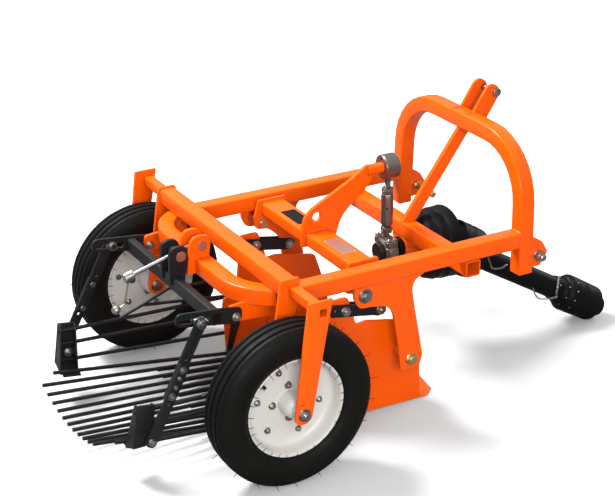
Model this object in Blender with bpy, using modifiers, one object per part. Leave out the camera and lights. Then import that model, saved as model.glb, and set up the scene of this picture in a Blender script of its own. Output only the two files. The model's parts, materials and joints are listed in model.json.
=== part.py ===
"""Potato harvester: a one-row digger that a small tractor carries on its three-point hitch and drives.

A frame of square tube stands on two narrow wheels. The tractor's shaft turns an eccentric, which shakes a
rocker; links pass the shake to a share that cuts under the row and to a grate of rods behind it.
Metres, +Z up, +Y forward, +X to the machine's right. The machine rests on its tyres and on the share.
"""

import math

import bmesh
import bpy
from mathutils import Matrix, Vector

# Clearances.
SEAT = 0.0003  # between pieces that rest on each other
WELD = 0.00001  # distance under which two points of one mesh are the same
RUNNING = 0.0010  # beside a plate that swings
FIT = 0.0005  # round a shaft in its bearing
ARC_STEP = math.radians(30)
FINE_STEP = math.radians(11)
ROUND = 12  # sides of a small round

# Square frame tube.
TUBE = 0.050
TUBE_WALL = 0.004
TUBE_CORNER = 0.006
RAIL_X = 0.327  # rail centre from the middle plane
RAIL_TOP = 0.5116
RAIL_BOTTOM = RAIL_TOP - TUBE
RAIL_REAR_Y = -0.280
RAIL_FRONT_Y = 0.530
FRONT_TUBE_Y = 0.360
REAR_TUBE_Y = -0.280
RAIL_INNER_X = RAIL_X - TUBE / 2
RAIL_OUTER_X = RAIL_X + TUBE / 2

# Hitch.
ARCH_FOOT_Z = 0.375
ARCH_FOOT_X = 0.355  # outer face of a leg at its foot
ARCH_SHOULDER_X = 0.340  # outer face of a leg where the bend starts
ARCH_SHOULDER_Z = 0.585
ARCH_TOP_Z = 0.790
ARCH_Y = RAIL_FRONT_Y + SEAT + TUBE / 2
TOP_PIN = (0.648, 0.844)
TOP_PIN_RADIUS = 0.0095
TOP_PLATE_X = 0.0275  # inner face
TOP_PLATE_THICK = 0.010
TOP_PLATE_WIDTH = 0.048
BRACE_WIDTH = 0.050
BRACE_THICK = 0.010
LUG_X = 0.325
LUG_THICK = 0.012
HITCH_PIN = (0.611, 0.420)
HITCH_PIN_RADIUS = 0.011
HITCH_PIN_INNER_X = 0.222

# Wheels and their forks.
AXLE = (-0.328, 0.240)
AXLE_RADIUS = 0.010
TYRE_RADIUS = 0.240
TYRE_WIDTH = 0.118
WHEEL_X = 0.4697
RIM_FLANGE_RADIUS = 0.148
RIM_SEAT_RADIUS = 0.1285
HUB_RADIUS = 0.034
FORK_THICK = 0.010
FORK_WIDTH = 0.060
FORK_TOP_Z = 0.566
FORK_TOP_Y = -0.279
FORK_INNER_X = 0.3843
FORK_OUTER_X = 0.5450
FORK_FOOT = 0.030
SPACER = 0.030
SPACER_WALL = 0.004
SPACER_CENTRE = (-0.272, 0.532)
COLLAR_THICK = 0.005
NUT_RADIUS = 0.015
NUT_THICK = 0.012
WHEEL_STEPS = 32

# Bow behind the frame.
BOW_REAR_Y = -0.391
BOW_CENTRE_X = 0.182
BOW_RADIUS = 0.170

# Leg plates under the rails and the two pivots that they carry.
LEG_OUTER_X = 0.347
PLATE = 0.010
ROCKER_PIVOT = (-0.010, 0.432)
SHARE_PIVOT = (0.153, 0.190)
PIVOT_RADIUS = 0.010
SLEEVE_RADIUS = 0.017
WASHER_RADIUS = 0.021
WASHER_THICK = 0.003

# Rocker.
SIDE_PLATE_X = 0.267  # inner face of the rocker's ends and of the share's sides
ROCKER_BEAM_Y = (-0.012, 0.068)
ROCKER_BEAM_Z = (0.459, 0.4995)
ROCKER_BEAM_WALL = 0.004
ARM_THICK = 0.012
ARM_PIN_Z = 0.657
ARM_PIN_START_Y = 0.205
ARM_PIN_RADIUS = 0.017
RING_RADIUS = 0.039
RING_BORE = ARM_PIN_RADIUS + FIT
RING_Y = (0.258, 0.306)

# Connecting rod and eccentric on the input shaft.
SHAFT_Z = 0.378
ROD_Y = 0.282
SHAFT_RADIUS = 0.011
STRAP_RADIUS = 0.046
STRAP_BORE = 0.027
STRAP_Y = (0.262, 0.302)
ECCENTRIC_RADIUS = 0.027
BEARING_RADIUS = 0.032

# Links.
LINK_FRONT = (0.082, 0.343)
LINK_REAR = (-0.038, 0.365)
LINK_WIDTH = 0.036
LINK_THICK = 0.008
LINK_BOLT_RADIUS = 0.008

# Share.
BLADE_THICK = 0.010
BLADE_REAR_Y = -0.120
BLADE_NOSE_Y = 0.345
BLADE_RISE = 0.010  # how far its rear edge lies above its nose
BLADE_BEVEL = 0.030

# Grate.
ROD_RADIUS = 0.006
ROD_PITCH = 0.0384
ROD_COUNT = 11
GRATE_HINGE = (-0.112, 0.100)
GRATE_TIP_Y = -0.794
GRATE_FRONT_Y = -0.138
GRATE_FRONT_Z = 0.022
GRATE_BEAM_Y = -0.640
FENCE_X = 0.2825
BOX_PLATE_X = 0.284
STRAP_FOOT = (-0.673, 0.137)

# Hanger that carries the grate's straps.
HANGER_PLATE_X = 0.284
HANGER_PLATE_THICK = 0.008
CROSSBAR_Y = (-0.465, -0.440)
CROSSBAR_Z = (0.426, 0.468)
HANGER_PIVOT = (-0.394, 0.4375)
SLOT_REAR = (-0.5585, 0.4605)
SLOT_FRONT = (-0.4815, 0.4505)
SLOT_HALF = 0.0075
STRAP_HEAD = (-0.512, 0.4545)
CLEVIS_X = 0.022
CLEVIS_THICK = 0.012
ORANGE_PIN = (-0.367, 0.545)
BLACK_PIN = (-0.435, 0.526)
CLEVIS_PIN_RADIUS = 0.013
SCREW_RADIUS = 0.0065
SCREW_LENGTH = 0.222

# Drive.
CUP_REAR_Y = 0.392
DRIVE_START = (0.0, 0.470, SHAFT_Z)
DRIVE_END = (0.090, 1.020, 0.0670)
GUARD_RADIUS = 0.030
GUARD_WALL = 0.003
INNER_GUARD_RADIUS = GUARD_RADIUS - GUARD_WALL - FIT
BELL_RADIUS = 0.055
JOINT_RADIUS = 0.022
CONE_RADIUS = 0.084

ORANGE = ("orange_paint", (1.0, 0.133, 0.004), 0.0, 0.35)
BLACK = ("black_paint", (0.021, 0.021, 0.022), 0.0, 0.42)
RUBBER = ("tyre_rubber", (0.010, 0.010, 0.010), 0.0, 0.75)
WHITE = ("rim_enamel", (0.60, 0.58, 0.55), 0.0, 0.45)
STEEL = ("bare_steel", (0.36, 0.35, 0.33), 1.0, 0.40)
ZINC = ("zinc_plating", (0.56, 0.56, 0.54), 1.0, 0.35)
YELLOW_ZINC = ("yellow_zinc", (0.62, 0.47, 0.18), 1.0, 0.35)
PLASTIC = ("guard_plastic", (0.012, 0.012, 0.012), 0.0, 0.50)

PLANES = {
    "X": Matrix(((0, 0, 1, 0), (1, 0, 0, 0), (0, 1, 0, 0), (0, 0, 0, 1))),
    "Y": Matrix(((1, 0, 0, 0), (0, 0, -1, 0), (0, 1, 0, 0), (0, 0, 0, 1))),
    "Z": Matrix.Identity(4),
}


# ---------------------------------------------------------------- scene


def clear_scene():
    """Removes every object, mesh and material that the file holds."""
    for obj in list(bpy.data.objects):
        bpy.data.objects.remove(obj, do_unlink=True)
    for mesh in list(bpy.data.meshes):
        bpy.data.meshes.remove(mesh)
    for material in list(bpy.data.materials):
        bpy.data.materials.remove(material)


def new_collection(name):
    """A collection under the scene's own."""
    collection = bpy.data.collections.new(name)
    bpy.context.scene.collection.children.link(collection)
    return collection


def material_of(finish):
    """The Principled material of a finish, made on first use."""
    name, colour, metallic, roughness = finish
    found = bpy.data.materials.get(name)
    if found:
        return found
    made = bpy.data.materials.new(name)
    made.use_nodes = True
    shader = made.node_tree.nodes["Principled BSDF"]
    shader.inputs["Base Color"].default_value = (*colour, 1.0)
    shader.inputs["Metallic"].default_value = metallic
    shader.inputs["Roughness"].default_value = roughness
    made.diffuse_color = (*colour, 1.0)
    return made


def empty_at(name, place, parent=None):
    """An empty at a place in the machine's frame, on which a moving body turns."""
    empty = bpy.data.objects.new(name, None)
    empty.empty_display_size = 0.05
    empty.location = place
    empty.parent = parent
    PARTS.objects.link(empty)
    return empty


# ---------------------------------------------------------------- solids


def solid_from(shape):
    """A loose object that holds a closed mesh, its faces turned outwards."""
    bmesh.ops.remove_doubles(shape, verts=shape.verts, dist=WELD)
    bmesh.ops.dissolve_degenerate(shape, dist=WELD, edges=shape.edges)
    bmesh.ops.recalc_face_normals(shape, faces=shape.faces)
    mesh = bpy.data.meshes.new("solid")
    shape.to_mesh(mesh)
    shape.free()
    solid = bpy.data.objects.new("solid", mesh)
    PARTS.objects.link(solid)
    return solid


def baked(source):
    """The mesh that an object's curve and modifiers make, as a loose solid. The object is removed."""
    bpy.context.view_layer.update()
    graph = bpy.context.evaluated_depsgraph_get()
    mesh = bpy.data.meshes.new_from_object(source.evaluated_get(graph))
    mesh.transform(source.matrix_world)
    shape = bmesh.new()
    shape.from_mesh(mesh)
    bpy.data.meshes.remove(mesh)
    bpy.data.objects.remove(source, do_unlink=True)
    return solid_from(shape)


def block(x, y, z):
    """A box between two values on each axis."""
    low = Vector((min(x), min(y), min(z)))
    high = Vector((max(x), max(y), max(z)))
    shape = bmesh.new()
    place = Matrix.Translation((low + high) / 2) @ Matrix.Diagonal((*(high - low), 1))
    bmesh.ops.create_cube(shape, size=1, matrix=place)
    return solid_from(shape)


def cylinder(start, end, radius, sides=ROUND, end_radius=None):
    """A round bar, or a cone frustum, between two points."""
    start, end = Vector(start), Vector(end)
    run = end - start
    turn = run.to_track_quat("Z", "Y").to_matrix().to_4x4()
    shape = bmesh.new()
    bmesh.ops.create_cone(
        shape,
        cap_ends=True,
        segments=sides,
        radius1=radius,
        radius2=radius if end_radius is None else end_radius,
        depth=run.length,
        matrix=Matrix.Translation((start + end) / 2) @ turn,
    )
    return solid_from(shape)


def rounded(corners, arc_step=ARC_STEP):
    """An outline from corners (u, v) or (u, v, radius), where a radius makes an arc."""
    points = []
    for index, corner in enumerate(corners):
        here = Vector(corner[:2])
        radius = corner[2] if len(corner) > 2 else 0
        if not radius:
            points.append(here)
            continue
        back = (Vector(corners[index - 1][:2]) - here).normalized()
        ahead = (Vector(corners[(index + 1) % len(corners)][:2]) - here).normalized()
        half = back.angle(ahead) / 2
        centre = here + (back + ahead).normalized() * radius / math.sin(half)
        first = here + back * radius / math.tan(half) - centre
        last = here + ahead * radius / math.tan(half) - centre
        sweep = math.atan2(first.cross(last), first.dot(last))
        steps = max(1, math.ceil(abs(sweep) / arc_step))
        for step in range(steps + 1):
            points.append(centre + Matrix.Rotation(sweep * step / steps, 2) @ first)
    return points


def ring(centre, radius, sides=ROUND):
    """A circle as an outline."""
    turn = 2 * math.pi / sides
    return [
        Vector((centre[0] + radius * math.cos(turn * k), centre[1] + radius * math.sin(turn * k)))
        for k in range(sides)
    ]


def hexagon(centre, radius):
    """A nut's outline, radius measured to its corners."""
    return ring(centre, radius, 6)


def rectangle(u, v, corner=0.0):
    """A rectangle's outline between two values each way."""
    low_u, high_u = min(u), max(u)
    low_v, high_v = min(v), max(v)
    return rounded(
        [
            (low_u, low_v, corner),
            (high_u, low_v, corner),
            (high_u, high_v, corner),
            (low_u, high_v, corner),
        ]
    )


def stadium(first, last, radius):
    """A slot's outline round two centres."""
    first, last = Vector(first), Vector(last)
    along = (last - first).normalized() * radius
    side = Vector((-along.y, along.x))
    near_full = radius * 0.99
    corners = (first - along + side, first - along - side, last + along - side, last + along + side)
    return rounded([(*corner, near_full) for corner in corners])


def plate(axis, between, outer, holes=()):
    """A flat plate: an outline in the plane across the axis, filled, less its holes, between two values."""
    low, high = min(between), max(between)
    curve = bpy.data.curves.new("outline", "CURVE")
    curve.dimensions = "2D"
    curve.fill_mode = "BOTH"
    curve.extrude = (high - low) / 2
    for line in (outer, *holes):
        spline = curve.splines.new("POLY")
        spline.points.add(len(line) - 1)
        spline.use_cyclic_u = True
        for point, place in zip(spline.points, line):
            point.co = (place[0], place[1], 0, 1)
    outline = bpy.data.objects.new("outline", curve)
    PARTS.objects.link(outline)
    shift = Vector((0, 0, 0))
    shift["XYZ".index(axis)] = (low + high) / 2
    outline.matrix_world = Matrix.Translation(shift) @ PLANES[axis]
    return baked(outline)


def square_tube(axis, between, u, v, wall, corner=TUBE_CORNER):
    """A square or oblong tube, open at both ends, along an axis."""
    hollow = rectangle(
        (min(u) + wall, max(u) - wall),
        (min(v) + wall, max(v) - wall),
    )
    return plate(axis, between, rectangle(u, v, corner), [hollow])


def turned(profile, centre, direction, steps=24, closed=False):
    """A profile of (radius, height) turned about a line. A closed profile is a ring's section."""
    mesh = bpy.data.meshes.new("profile")
    count = len(profile)
    edges = [(k, k + 1) for k in range(count - 1)]
    if closed:
        edges.append((count - 1, 0))
    mesh.from_pydata([(radius, 0, height) for radius, height in profile], edges, [])
    source = bpy.data.objects.new("profile", mesh)
    PARTS.objects.link(source)
    turn = Vector(direction).to_track_quat("Z", "Y").to_matrix().to_4x4()
    source.matrix_world = Matrix.Translation(centre) @ turn
    screw = source.modifiers.new("turn", "SCREW")
    screw.steps = steps
    screw.render_steps = steps
    screw.use_merge_vertices = True
    screw.merge_threshold = WELD
    return baked(source)


def rod(points, radius, resolution=1):
    """A round rod through points, with flat ends."""
    curve = bpy.data.curves.new("rod", "CURVE")
    curve.dimensions = "3D"
    curve.bevel_depth = radius
    curve.bevel_resolution = resolution
    curve.use_fill_caps = True
    spline = curve.splines.new("POLY")
    spline.points.add(len(points) - 1)
    for point, place in zip(spline.points, points):
        point.co = (*place, 1)
    source = bpy.data.objects.new("rod", curve)
    PARTS.objects.link(source)
    return baked(source)


def swept(axis, level, line, section):
    """A bar of one section along a flat line in the plane across an axis, with flat ends."""
    outline = bpy.data.curves.new("section", "CURVE")
    outline.dimensions = "2D"
    loop = outline.splines.new("POLY")
    loop.points.add(len(section) - 1)
    loop.use_cyclic_u = True
    for point, place in zip(loop.points, section):
        point.co = (place[0], place[1], 0, 1)
    shape = bpy.data.objects.new("section", outline)
    PARTS.objects.link(shape)
    path = bpy.data.curves.new("path", "CURVE")
    path.dimensions = "3D"
    path.twist_mode = "Z_UP"
    path.bevel_mode = "OBJECT"
    path.bevel_object = shape
    path.use_fill_caps = True
    spline = path.splines.new("POLY")
    spline.points.add(len(line) - 1)
    for point, place in zip(spline.points, line):
        point.co = (place[0], place[1], 0, 1)
    source = bpy.data.objects.new("path", path)
    PARTS.objects.link(source)
    shift = Vector((0, 0, 0))
    shift["XYZ".index(axis)] = level
    source.matrix_world = Matrix.Translation(shift) @ PLANES[axis]
    solid = baked(source)
    bpy.data.objects.remove(shape, do_unlink=True)
    return solid


def combined(solid, tools, operation):
    """One solid with others joined to it or cut from it. The others are removed."""
    for tool in tools:
        step = solid.modifiers.new("step", "BOOLEAN")
        step.operation = operation
        step.object = tool
        step.solver = "EXACT"
    result = baked(solid)
    for tool in tools:
        bpy.data.objects.remove(tool, do_unlink=True)
    return result


def fused(*solids):
    """Several solids welded into one."""
    return combined(solids[0], solids[1:], "UNION")


def cut(solid, *tools):
    """A solid less others."""
    return combined(solid, tools, "DIFFERENCE")


def part(name, solid, finish, body):
    """Names a solid, paints it and hangs it on its body."""
    solid.name = name
    solid.data.name = name
    solid.data.materials.clear()
    solid.data.materials.append(material_of(finish))
    solid.data.shade_smooth()
    solid.data.set_sharp_from_angle(angle=math.radians(35))
    pivot = BODIES[body]
    solid.data.transform(Matrix.Translation(-pivot.location))
    solid.parent = pivot
    return solid


def sides():
    """The two sides of the machine, as a name and the sign of X."""
    return (("left", -1), ("right", 1))


def across(sign, inner, outer):
    """A span along X on one side, given as distances from the middle plane."""
    return (sign * inner, sign * outer)


def pin(sign, inner, outer, at, radius, sides_round=ROUND):
    """A round pin along X on one side."""
    return cylinder((sign * inner, *at), (sign * outer, *at), radius, sides_round)


def nut(sign, inner, outer, at, radius):
    """A hexagon along X on one side."""
    return plate("X", across(sign, inner, outer), hexagon(at, radius))


# ---------------------------------------------------------------- frame


def make_rails():
    for name, sign in sides():
        rail = square_tube(
            "Y",
            (RAIL_REAR_Y, RAIL_FRONT_Y),
            across(sign, RAIL_INNER_X, RAIL_OUTER_X),
            (RAIL_BOTTOM, RAIL_TOP),
            TUBE_WALL,
        )
        part(f"side_rail_{name}", rail, ORANGE, "frame")


def make_cross_tubes():
    half = TUBE / 2
    top = RAIL_BOTTOM - SEAT
    front = square_tube(
        "X",
        (-RAIL_OUTER_X, RAIL_OUTER_X),
        (FRONT_TUBE_Y - half, FRONT_TUBE_Y + half),
        (top - TUBE, top),
        TUBE_WALL,
    )
    part("front_cross_tube", front, ORANGE, "frame")
    bottom = RAIL_TOP + SEAT
    reach = FORK_INNER_X - SEAT
    rear = square_tube(
        "X",
        (-reach, reach),
        (REAR_TUBE_Y - half, REAR_TUBE_Y + half),
        (bottom, bottom + TUBE),
        TUBE_WALL,
    )
    part("rear_cross_tube", rear, ORANGE, "frame")


def make_arch():
    """The bent tube that the tractor's arms and top link hold."""
    half = TUBE / 2
    bend = ARCH_TOP_Z - ARCH_SHOULDER_Z
    line = rounded(
        [
            (ARCH_FOOT_X - half, ARCH_FOOT_Z),
            (ARCH_SHOULDER_X - half, ARCH_TOP_Z - half, bend - half),
            (half - ARCH_SHOULDER_X, ARCH_TOP_Z - half, bend - half),
            (half - ARCH_FOOT_X, ARCH_FOOT_Z),
        ],
        FINE_STEP,
    )
    arch = swept("Y", ARCH_Y, line, rectangle((-half, half), (-half, half), TUBE_CORNER))
    inside = half - TUBE_WALL
    for sign in (-1, 1):
        middle = sign * (ARCH_FOOT_X - half)
        pocket = block(
            (middle - inside, middle + inside),
            (ARCH_Y - inside, ARCH_Y + inside),
            (ARCH_FOOT_Z - TUBE_WALL, ARCH_FOOT_Z + TUBE),
        )
        arch = cut(arch, pocket)
    part("hitch_arch", arch, ORANGE, "frame")


def make_top_link():
    half = TOP_PLATE_WIDTH / 2
    foot_y, foot_z = ARCH_Y + 0.030, ARCH_TOP_Z + SEAT
    centre_y, centre_z = TOP_PIN
    outline = rounded(
        [
            (ARCH_Y - half, foot_z),
            (foot_y, foot_z, 0.004),
            (centre_y + half * 0.9, centre_z - half * 1.1, half * 0.8),
            (centre_y + half * 0.5, centre_z + half * 1.35, half * 0.9),
            (centre_y - half * 1.1, centre_z + half * 0.9, half * 0.9),
        ]
    )
    for name, sign in sides():
        clevis = plate(
            "X",
            across(sign, TOP_PLATE_X, TOP_PLATE_X + TOP_PLATE_THICK),
            outline,
            [ring(TOP_PIN, TOP_PIN_RADIUS + RUNNING / 2)],
        )
        part(f"top_link_plate_{name}", clevis, ORANGE, "frame")
    reach = TOP_PLATE_X + TOP_PLATE_THICK
    bolt = fused(
        pin(1, -reach - 0.016, reach + 0.004, TOP_PIN, TOP_PIN_RADIUS),
        pin(1, reach + SEAT, reach + 0.007, TOP_PIN, TOP_PIN_RADIUS + 0.005),
    )
    part("top_link_pin", bolt, ZINC, "frame")


def make_brace():
    """The flat bar from the arch down to the front cross tube, its ends cut to lie on both."""
    top = ARCH_TOP_Z - TUBE - SEAT
    bottom = RAIL_BOTTOM
    slope = (ARCH_Y - FRONT_TUBE_Y) / (top - bottom)
    across_bar = BRACE_WIDTH * math.sqrt(1 + slope * slope)
    half = across_bar / 2
    outline = [
        (FRONT_TUBE_Y - half, bottom),
        (FRONT_TUBE_Y + half, bottom),
        (ARCH_Y + half, top),
        (ARCH_Y - half, top),
    ]
    bar = plate("X", (-BRACE_THICK / 2, BRACE_THICK / 2), outline)
    part("mast_brace", bar, ORANGE, "frame")


def make_lower_hitch():
    face = ARCH_Y + TUBE / 2 + SEAT
    outline = rounded(
        [
            (face, 0.474),
            (face + 0.020, 0.477, 0.006),
            (face + 0.043, 0.462, 0.008),
            (face + 0.066, 0.425, 0.010),
            (face + 0.040, 0.384, 0.008),
            (face, 0.384),
        ]
    )
    for name, sign in sides():
        lug = plate(
            "X",
            across(sign, LUG_X, LUG_X + LUG_THICK),
            outline,
            [ring(HITCH_PIN, HITCH_PIN_RADIUS + SEAT)],
        )
        part(f"lower_hitch_lug_{name}", lug, ORANGE, "frame")
        outer = LUG_X + LUG_THICK
        shank = fused(
            pin(sign, HITCH_PIN_INNER_X, outer + 0.030, HITCH_PIN, HITCH_PIN_RADIUS),
            pin(sign, LUG_X - 0.010, LUG_X - SEAT, HITCH_PIN, HITCH_PIN_RADIUS + 0.005),
            nut(sign, outer + SEAT, outer + 0.020, HITCH_PIN, HITCH_PIN_RADIUS + 0.007),
        )
        part(f"hitch_pin_{name}", shank, YELLOW_ZINC, "frame")


def fork_outline():
    """The outline of a wheel plate, leaning back from the cross tube to the axle."""
    half = FORK_WIDTH / 2
    axle_y, axle_z = AXLE
    return rounded(
        [
            (FORK_TOP_Y - half, FORK_TOP_Z, 0.008),
            (axle_y - FORK_FOOT, axle_z - FORK_FOOT, FORK_FOOT * 0.96),
            (axle_y + FORK_FOOT, axle_z - FORK_FOOT, FORK_FOOT * 0.96),
            (FORK_TOP_Y + half, FORK_TOP_Z, 0.008),
        ]
    )


def make_forks():
    outline = fork_outline()
    bore = ring(AXLE, AXLE_RADIUS + SEAT)
    spacer_y, spacer_z = SPACER_CENTRE
    half = SPACER / 2
    opening = rectangle(
        (spacer_y - half + SPACER_WALL, spacer_y + half - SPACER_WALL),
        (spacer_z - half + SPACER_WALL, spacer_z + half - SPACER_WALL),
        0.001,
    )
    cotter = ring((AXLE[0] - 0.006, AXLE[1] + 0.031), 0.003, 12)
    for name, sign in sides():
        inner = plate("X", across(sign, FORK_INNER_X, FORK_INNER_X + FORK_THICK), outline, [bore])
        part(f"wheel_plate_inner_{name}", inner, ORANGE, "frame")
        outer = plate(
            "X",
            across(sign, FORK_OUTER_X, FORK_OUTER_X + FORK_THICK),
            outline,
            [bore, opening, cotter],
        )
        part(f"wheel_plate_outer_{name}", outer, ORANGE, "frame")
        spacer = square_tube(
            "X",
            across(sign, FORK_INNER_X + FORK_THICK + SEAT, FORK_OUTER_X - SEAT),
            (spacer_y - half, spacer_y + half),
            (spacer_z - half, spacer_z + half),
            SPACER_WALL,
            0.003,
        )
        part(f"wheel_spacer_{name}", spacer, ORANGE, "frame")
        make_axle(name, sign)


def make_axle(name, sign):
    """A bolt through both wheel plates, with a collar inside each and a nut outside each."""
    inner_face = FORK_INNER_X + FORK_THICK
    outer_face = FORK_OUTER_X + FORK_THICK
    axle = fused(
        pin(sign, FORK_INNER_X - NUT_THICK, outer_face + NUT_THICK, AXLE, AXLE_RADIUS),
        pin(sign, inner_face + SEAT, inner_face + COLLAR_THICK, AXLE, AXLE_RADIUS * 1.8),
        pin(sign, FORK_OUTER_X - COLLAR_THICK, FORK_OUTER_X - SEAT, AXLE, AXLE_RADIUS * 1.8),
        nut(sign, FORK_INNER_X - NUT_THICK * 0.8, FORK_INNER_X - SEAT, AXLE, NUT_RADIUS),
        nut(sign, outer_face + SEAT, outer_face + NUT_THICK * 0.8, AXLE, NUT_RADIUS),
    )
    part(f"axle_{name}", axle, ZINC, "frame")


def make_bow():
    """The bent tube that closes the frame behind the cross tube, with the screw's two lugs."""
    half = TUBE / 2
    joint_y = RAIL_REAR_Y - SEAT
    centre_y = BOW_REAR_Y + BOW_RADIUS
    radius = BOW_RADIUS - half
    last = math.acos((centre_y - joint_y) / radius)
    steps = math.ceil(last / FINE_STEP)
    bend = [
        (
            BOW_CENTRE_X + radius * math.sin(last * k / steps),
            centre_y - radius * math.cos(last * k / steps),
        )
        for k in range(steps + 1)
    ]
    line = [(-x, y) for x, y in reversed(bend)] + bend
    tube = swept("Z", RAIL_TOP - half, line, rectangle((-half, half), (-half, half), TUBE_CORNER))
    trim = block((-RAIL_X * 2, RAIL_X * 2), (joint_y, joint_y + TUBE), (RAIL_BOTTOM - half, RAIL_TOP + half))
    tube = cut(tube, trim)
    pin_y, pin_z = ORANGE_PIN
    rear = BOW_REAR_Y - half
    lug_outline = rounded(
        [
            (rear, RAIL_BOTTOM + 0.003, 0.003),
            (rear + 0.060, RAIL_BOTTOM + 0.003),
            (rear + 0.070, RAIL_TOP, 0.004),
            (pin_y + 0.030, pin_z + 0.032, 0.027),
            (pin_y - 0.036, pin_z + 0.032, 0.027),
        ]
    )
    pieces = [tube]
    for _, sign in sides():
        pieces.append(plate("X", across(sign, CLEVIS_X, CLEVIS_X + CLEVIS_THICK), lug_outline))
        bracket = rounded(
            [
                (-0.270, RAIL_TOP - 0.032),
                (-0.270, 0.408, 0.004),
                (HANGER_PIVOT[0] + 0.002, HANGER_PIVOT[1] - 0.018, 0.010),
                (HANGER_PIVOT[0] - 0.020, HANGER_PIVOT[1] + 0.002, 0.012),
                (HANGER_PIVOT[0] - 0.014, HANGER_PIVOT[1] + 0.030, 0.008),
            ]
        )
        pieces.append(
            plate(
                "X",
                across(sign, HANGER_PLATE_X - SEAT - 0.010, HANGER_PLATE_X - SEAT),
                bracket,
                [ring(HANGER_PIVOT, 0.0065)],
            )
        )
    bow = fused(*pieces)
    bores = [
        pin(sign, CLEVIS_X - 0.002, CLEVIS_X + CLEVIS_THICK + 0.002, ORANGE_PIN, CLEVIS_PIN_RADIUS + SEAT)
        for _, sign in sides()
    ]
    part("rear_bow", cut(bow, *bores), ORANGE, "frame")


def make_legs():
    """The plates under the rails, and the bolts on which the rocker and the share turn."""
    outline = rounded(
        [
            (0.190, RAIL_BOTTOM - SEAT),
            (0.157, 0.444, 0.020),
            (0.149, 0.418, 0.020),
            (0.157, 0.372, 0.060),
            (0.184, 0.238, 0.040),
            (0.193, 0.196, 0.012),
            (0.183, 0.158, 0.016),
            (0.118, 0.158, 0.012),
            (0.108, 0.240, 0.060),
            (0.086, 0.358, 0.040),
            (0.062, 0.384, 0.030),
            (0.010, 0.394, 0.030),
            (-0.030, 0.396, 0.022),
            (-0.047, 0.430, 0.020),
            (-0.047, RAIL_BOTTOM - SEAT),
        ]
    )
    inner = LEG_OUTER_X - PLATE
    for name, sign in sides():
        bores = [ring(ROCKER_PIVOT, PIVOT_RADIUS + SEAT), ring(SHARE_PIVOT, PIVOT_RADIUS + SEAT)]
        leg = plate("X", across(sign, inner, LEG_OUTER_X), outline, bores)
        part(f"leg_plate_{name}", leg, ORANGE, "frame")
        for place, at in (("rocker", ROCKER_PIVOT), ("share", SHARE_PIVOT)):
            bolt = fused(
                pin(sign, SIDE_PLATE_X - 0.014, LEG_OUTER_X + 0.012, at, PIVOT_RADIUS),
                pin(sign, SIDE_PLATE_X + PLATE + RUNNING, inner - SEAT, at, SLEEVE_RADIUS),
                pin(sign, LEG_OUTER_X + SEAT, LEG_OUTER_X + WASHER_THICK, at, WASHER_RADIUS),
                nut(sign, LEG_OUTER_X + WASHER_THICK / 2, LEG_OUTER_X + 0.013, at, NUT_RADIUS),
                nut(sign, SIDE_PLATE_X - 0.012, SIDE_PLATE_X - RUNNING, at, NUT_RADIUS),
            )
            part(f"{place}_pivot_bolt_{name}", bolt, ZINC, "frame")


# ---------------------------------------------------------------- rocker, connecting rod, links


def make_rocker():
    beam = square_tube(
        "X",
        (-SIDE_PLATE_X + SEAT, SIDE_PLATE_X - SEAT),
        ROCKER_BEAM_Y,
        ROCKER_BEAM_Z,
        ROCKER_BEAM_WALL,
    )
    arm_outline = rounded(
        [
            (-0.023, 0.4535, 0.003),
            (-0.023, 0.490, 0.060),
            (-0.013, 0.545, 0.030),
            (0.010, 0.570, 0.030),
            (0.145, 0.638, 0.040),
            (0.205, 0.676, 0.006),
            (ARM_PIN_START_Y + 0.015, ARM_PIN_Z + 0.014, 0.003),
            (ARM_PIN_START_Y + 0.020, ARM_PIN_Z - 0.020, 0.006),
            (0.192, 0.592, 0.030),
            (0.147, 0.560, 0.060),
            (0.112, 0.524, 0.060),
            (0.096, 0.470, 0.040),
            (0.083, 0.4535, 0.003),
        ]
    )
    window = rounded(
        [(0.014, 0.524, 0.012), (0.043, 0.530, 0.012), (0.041, 0.560, 0.012), (0.014, 0.556, 0.012)]
    )
    half = ARM_THICK / 2
    arm = plate("X", (-half, half), arm_outline, [window])
    slot = block((-ARM_THICK, ARM_THICK), spread(ROCKER_BEAM_Y, SEAT), spread(ROCKER_BEAM_Z, SEAT))
    arm = cut(arm, slot)
    pin_end = RING_Y[1] + 0.004
    stub = cylinder((0, ARM_PIN_START_Y, ARM_PIN_Z), (0, pin_end, ARM_PIN_Z), ARM_PIN_RADIUS)
    part("rocker_arm", fused(arm, stub), ORANGE, "rocker")
    part("rocker_beam", beam, ORANGE, "rocker")
    end_outline = rounded(
        [
            (-0.021, 0.5085, 0.003),
            (0.075, 0.5085, 0.003),
            (0.082, 0.455, 0.020),
            (0.106, 0.360, 0.030),
            (0.104, 0.318, 0.022),
            (0.062, 0.318, 0.022),
            (0.052, 0.372, 0.040),
            (0.010, 0.409, 0.030),
            (-0.036, 0.414, 0.018),
            (-0.037, 0.455, 0.012),
        ]
    )
    for name, sign in sides():
        end = plate(
            "X",
            across(sign, SIDE_PLATE_X, SIDE_PLATE_X + PLATE),
            end_outline,
            [ring(ROCKER_PIVOT, PIVOT_RADIUS + SEAT), ring(LINK_FRONT, LINK_BOLT_RADIUS + SEAT)],
        )
        part(f"rocker_end_{name}", end, ORANGE, "rocker")


def spread(between, extra):
    """A span made longer at both ends."""
    return (min(between) - extra, max(between) + extra)


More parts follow.
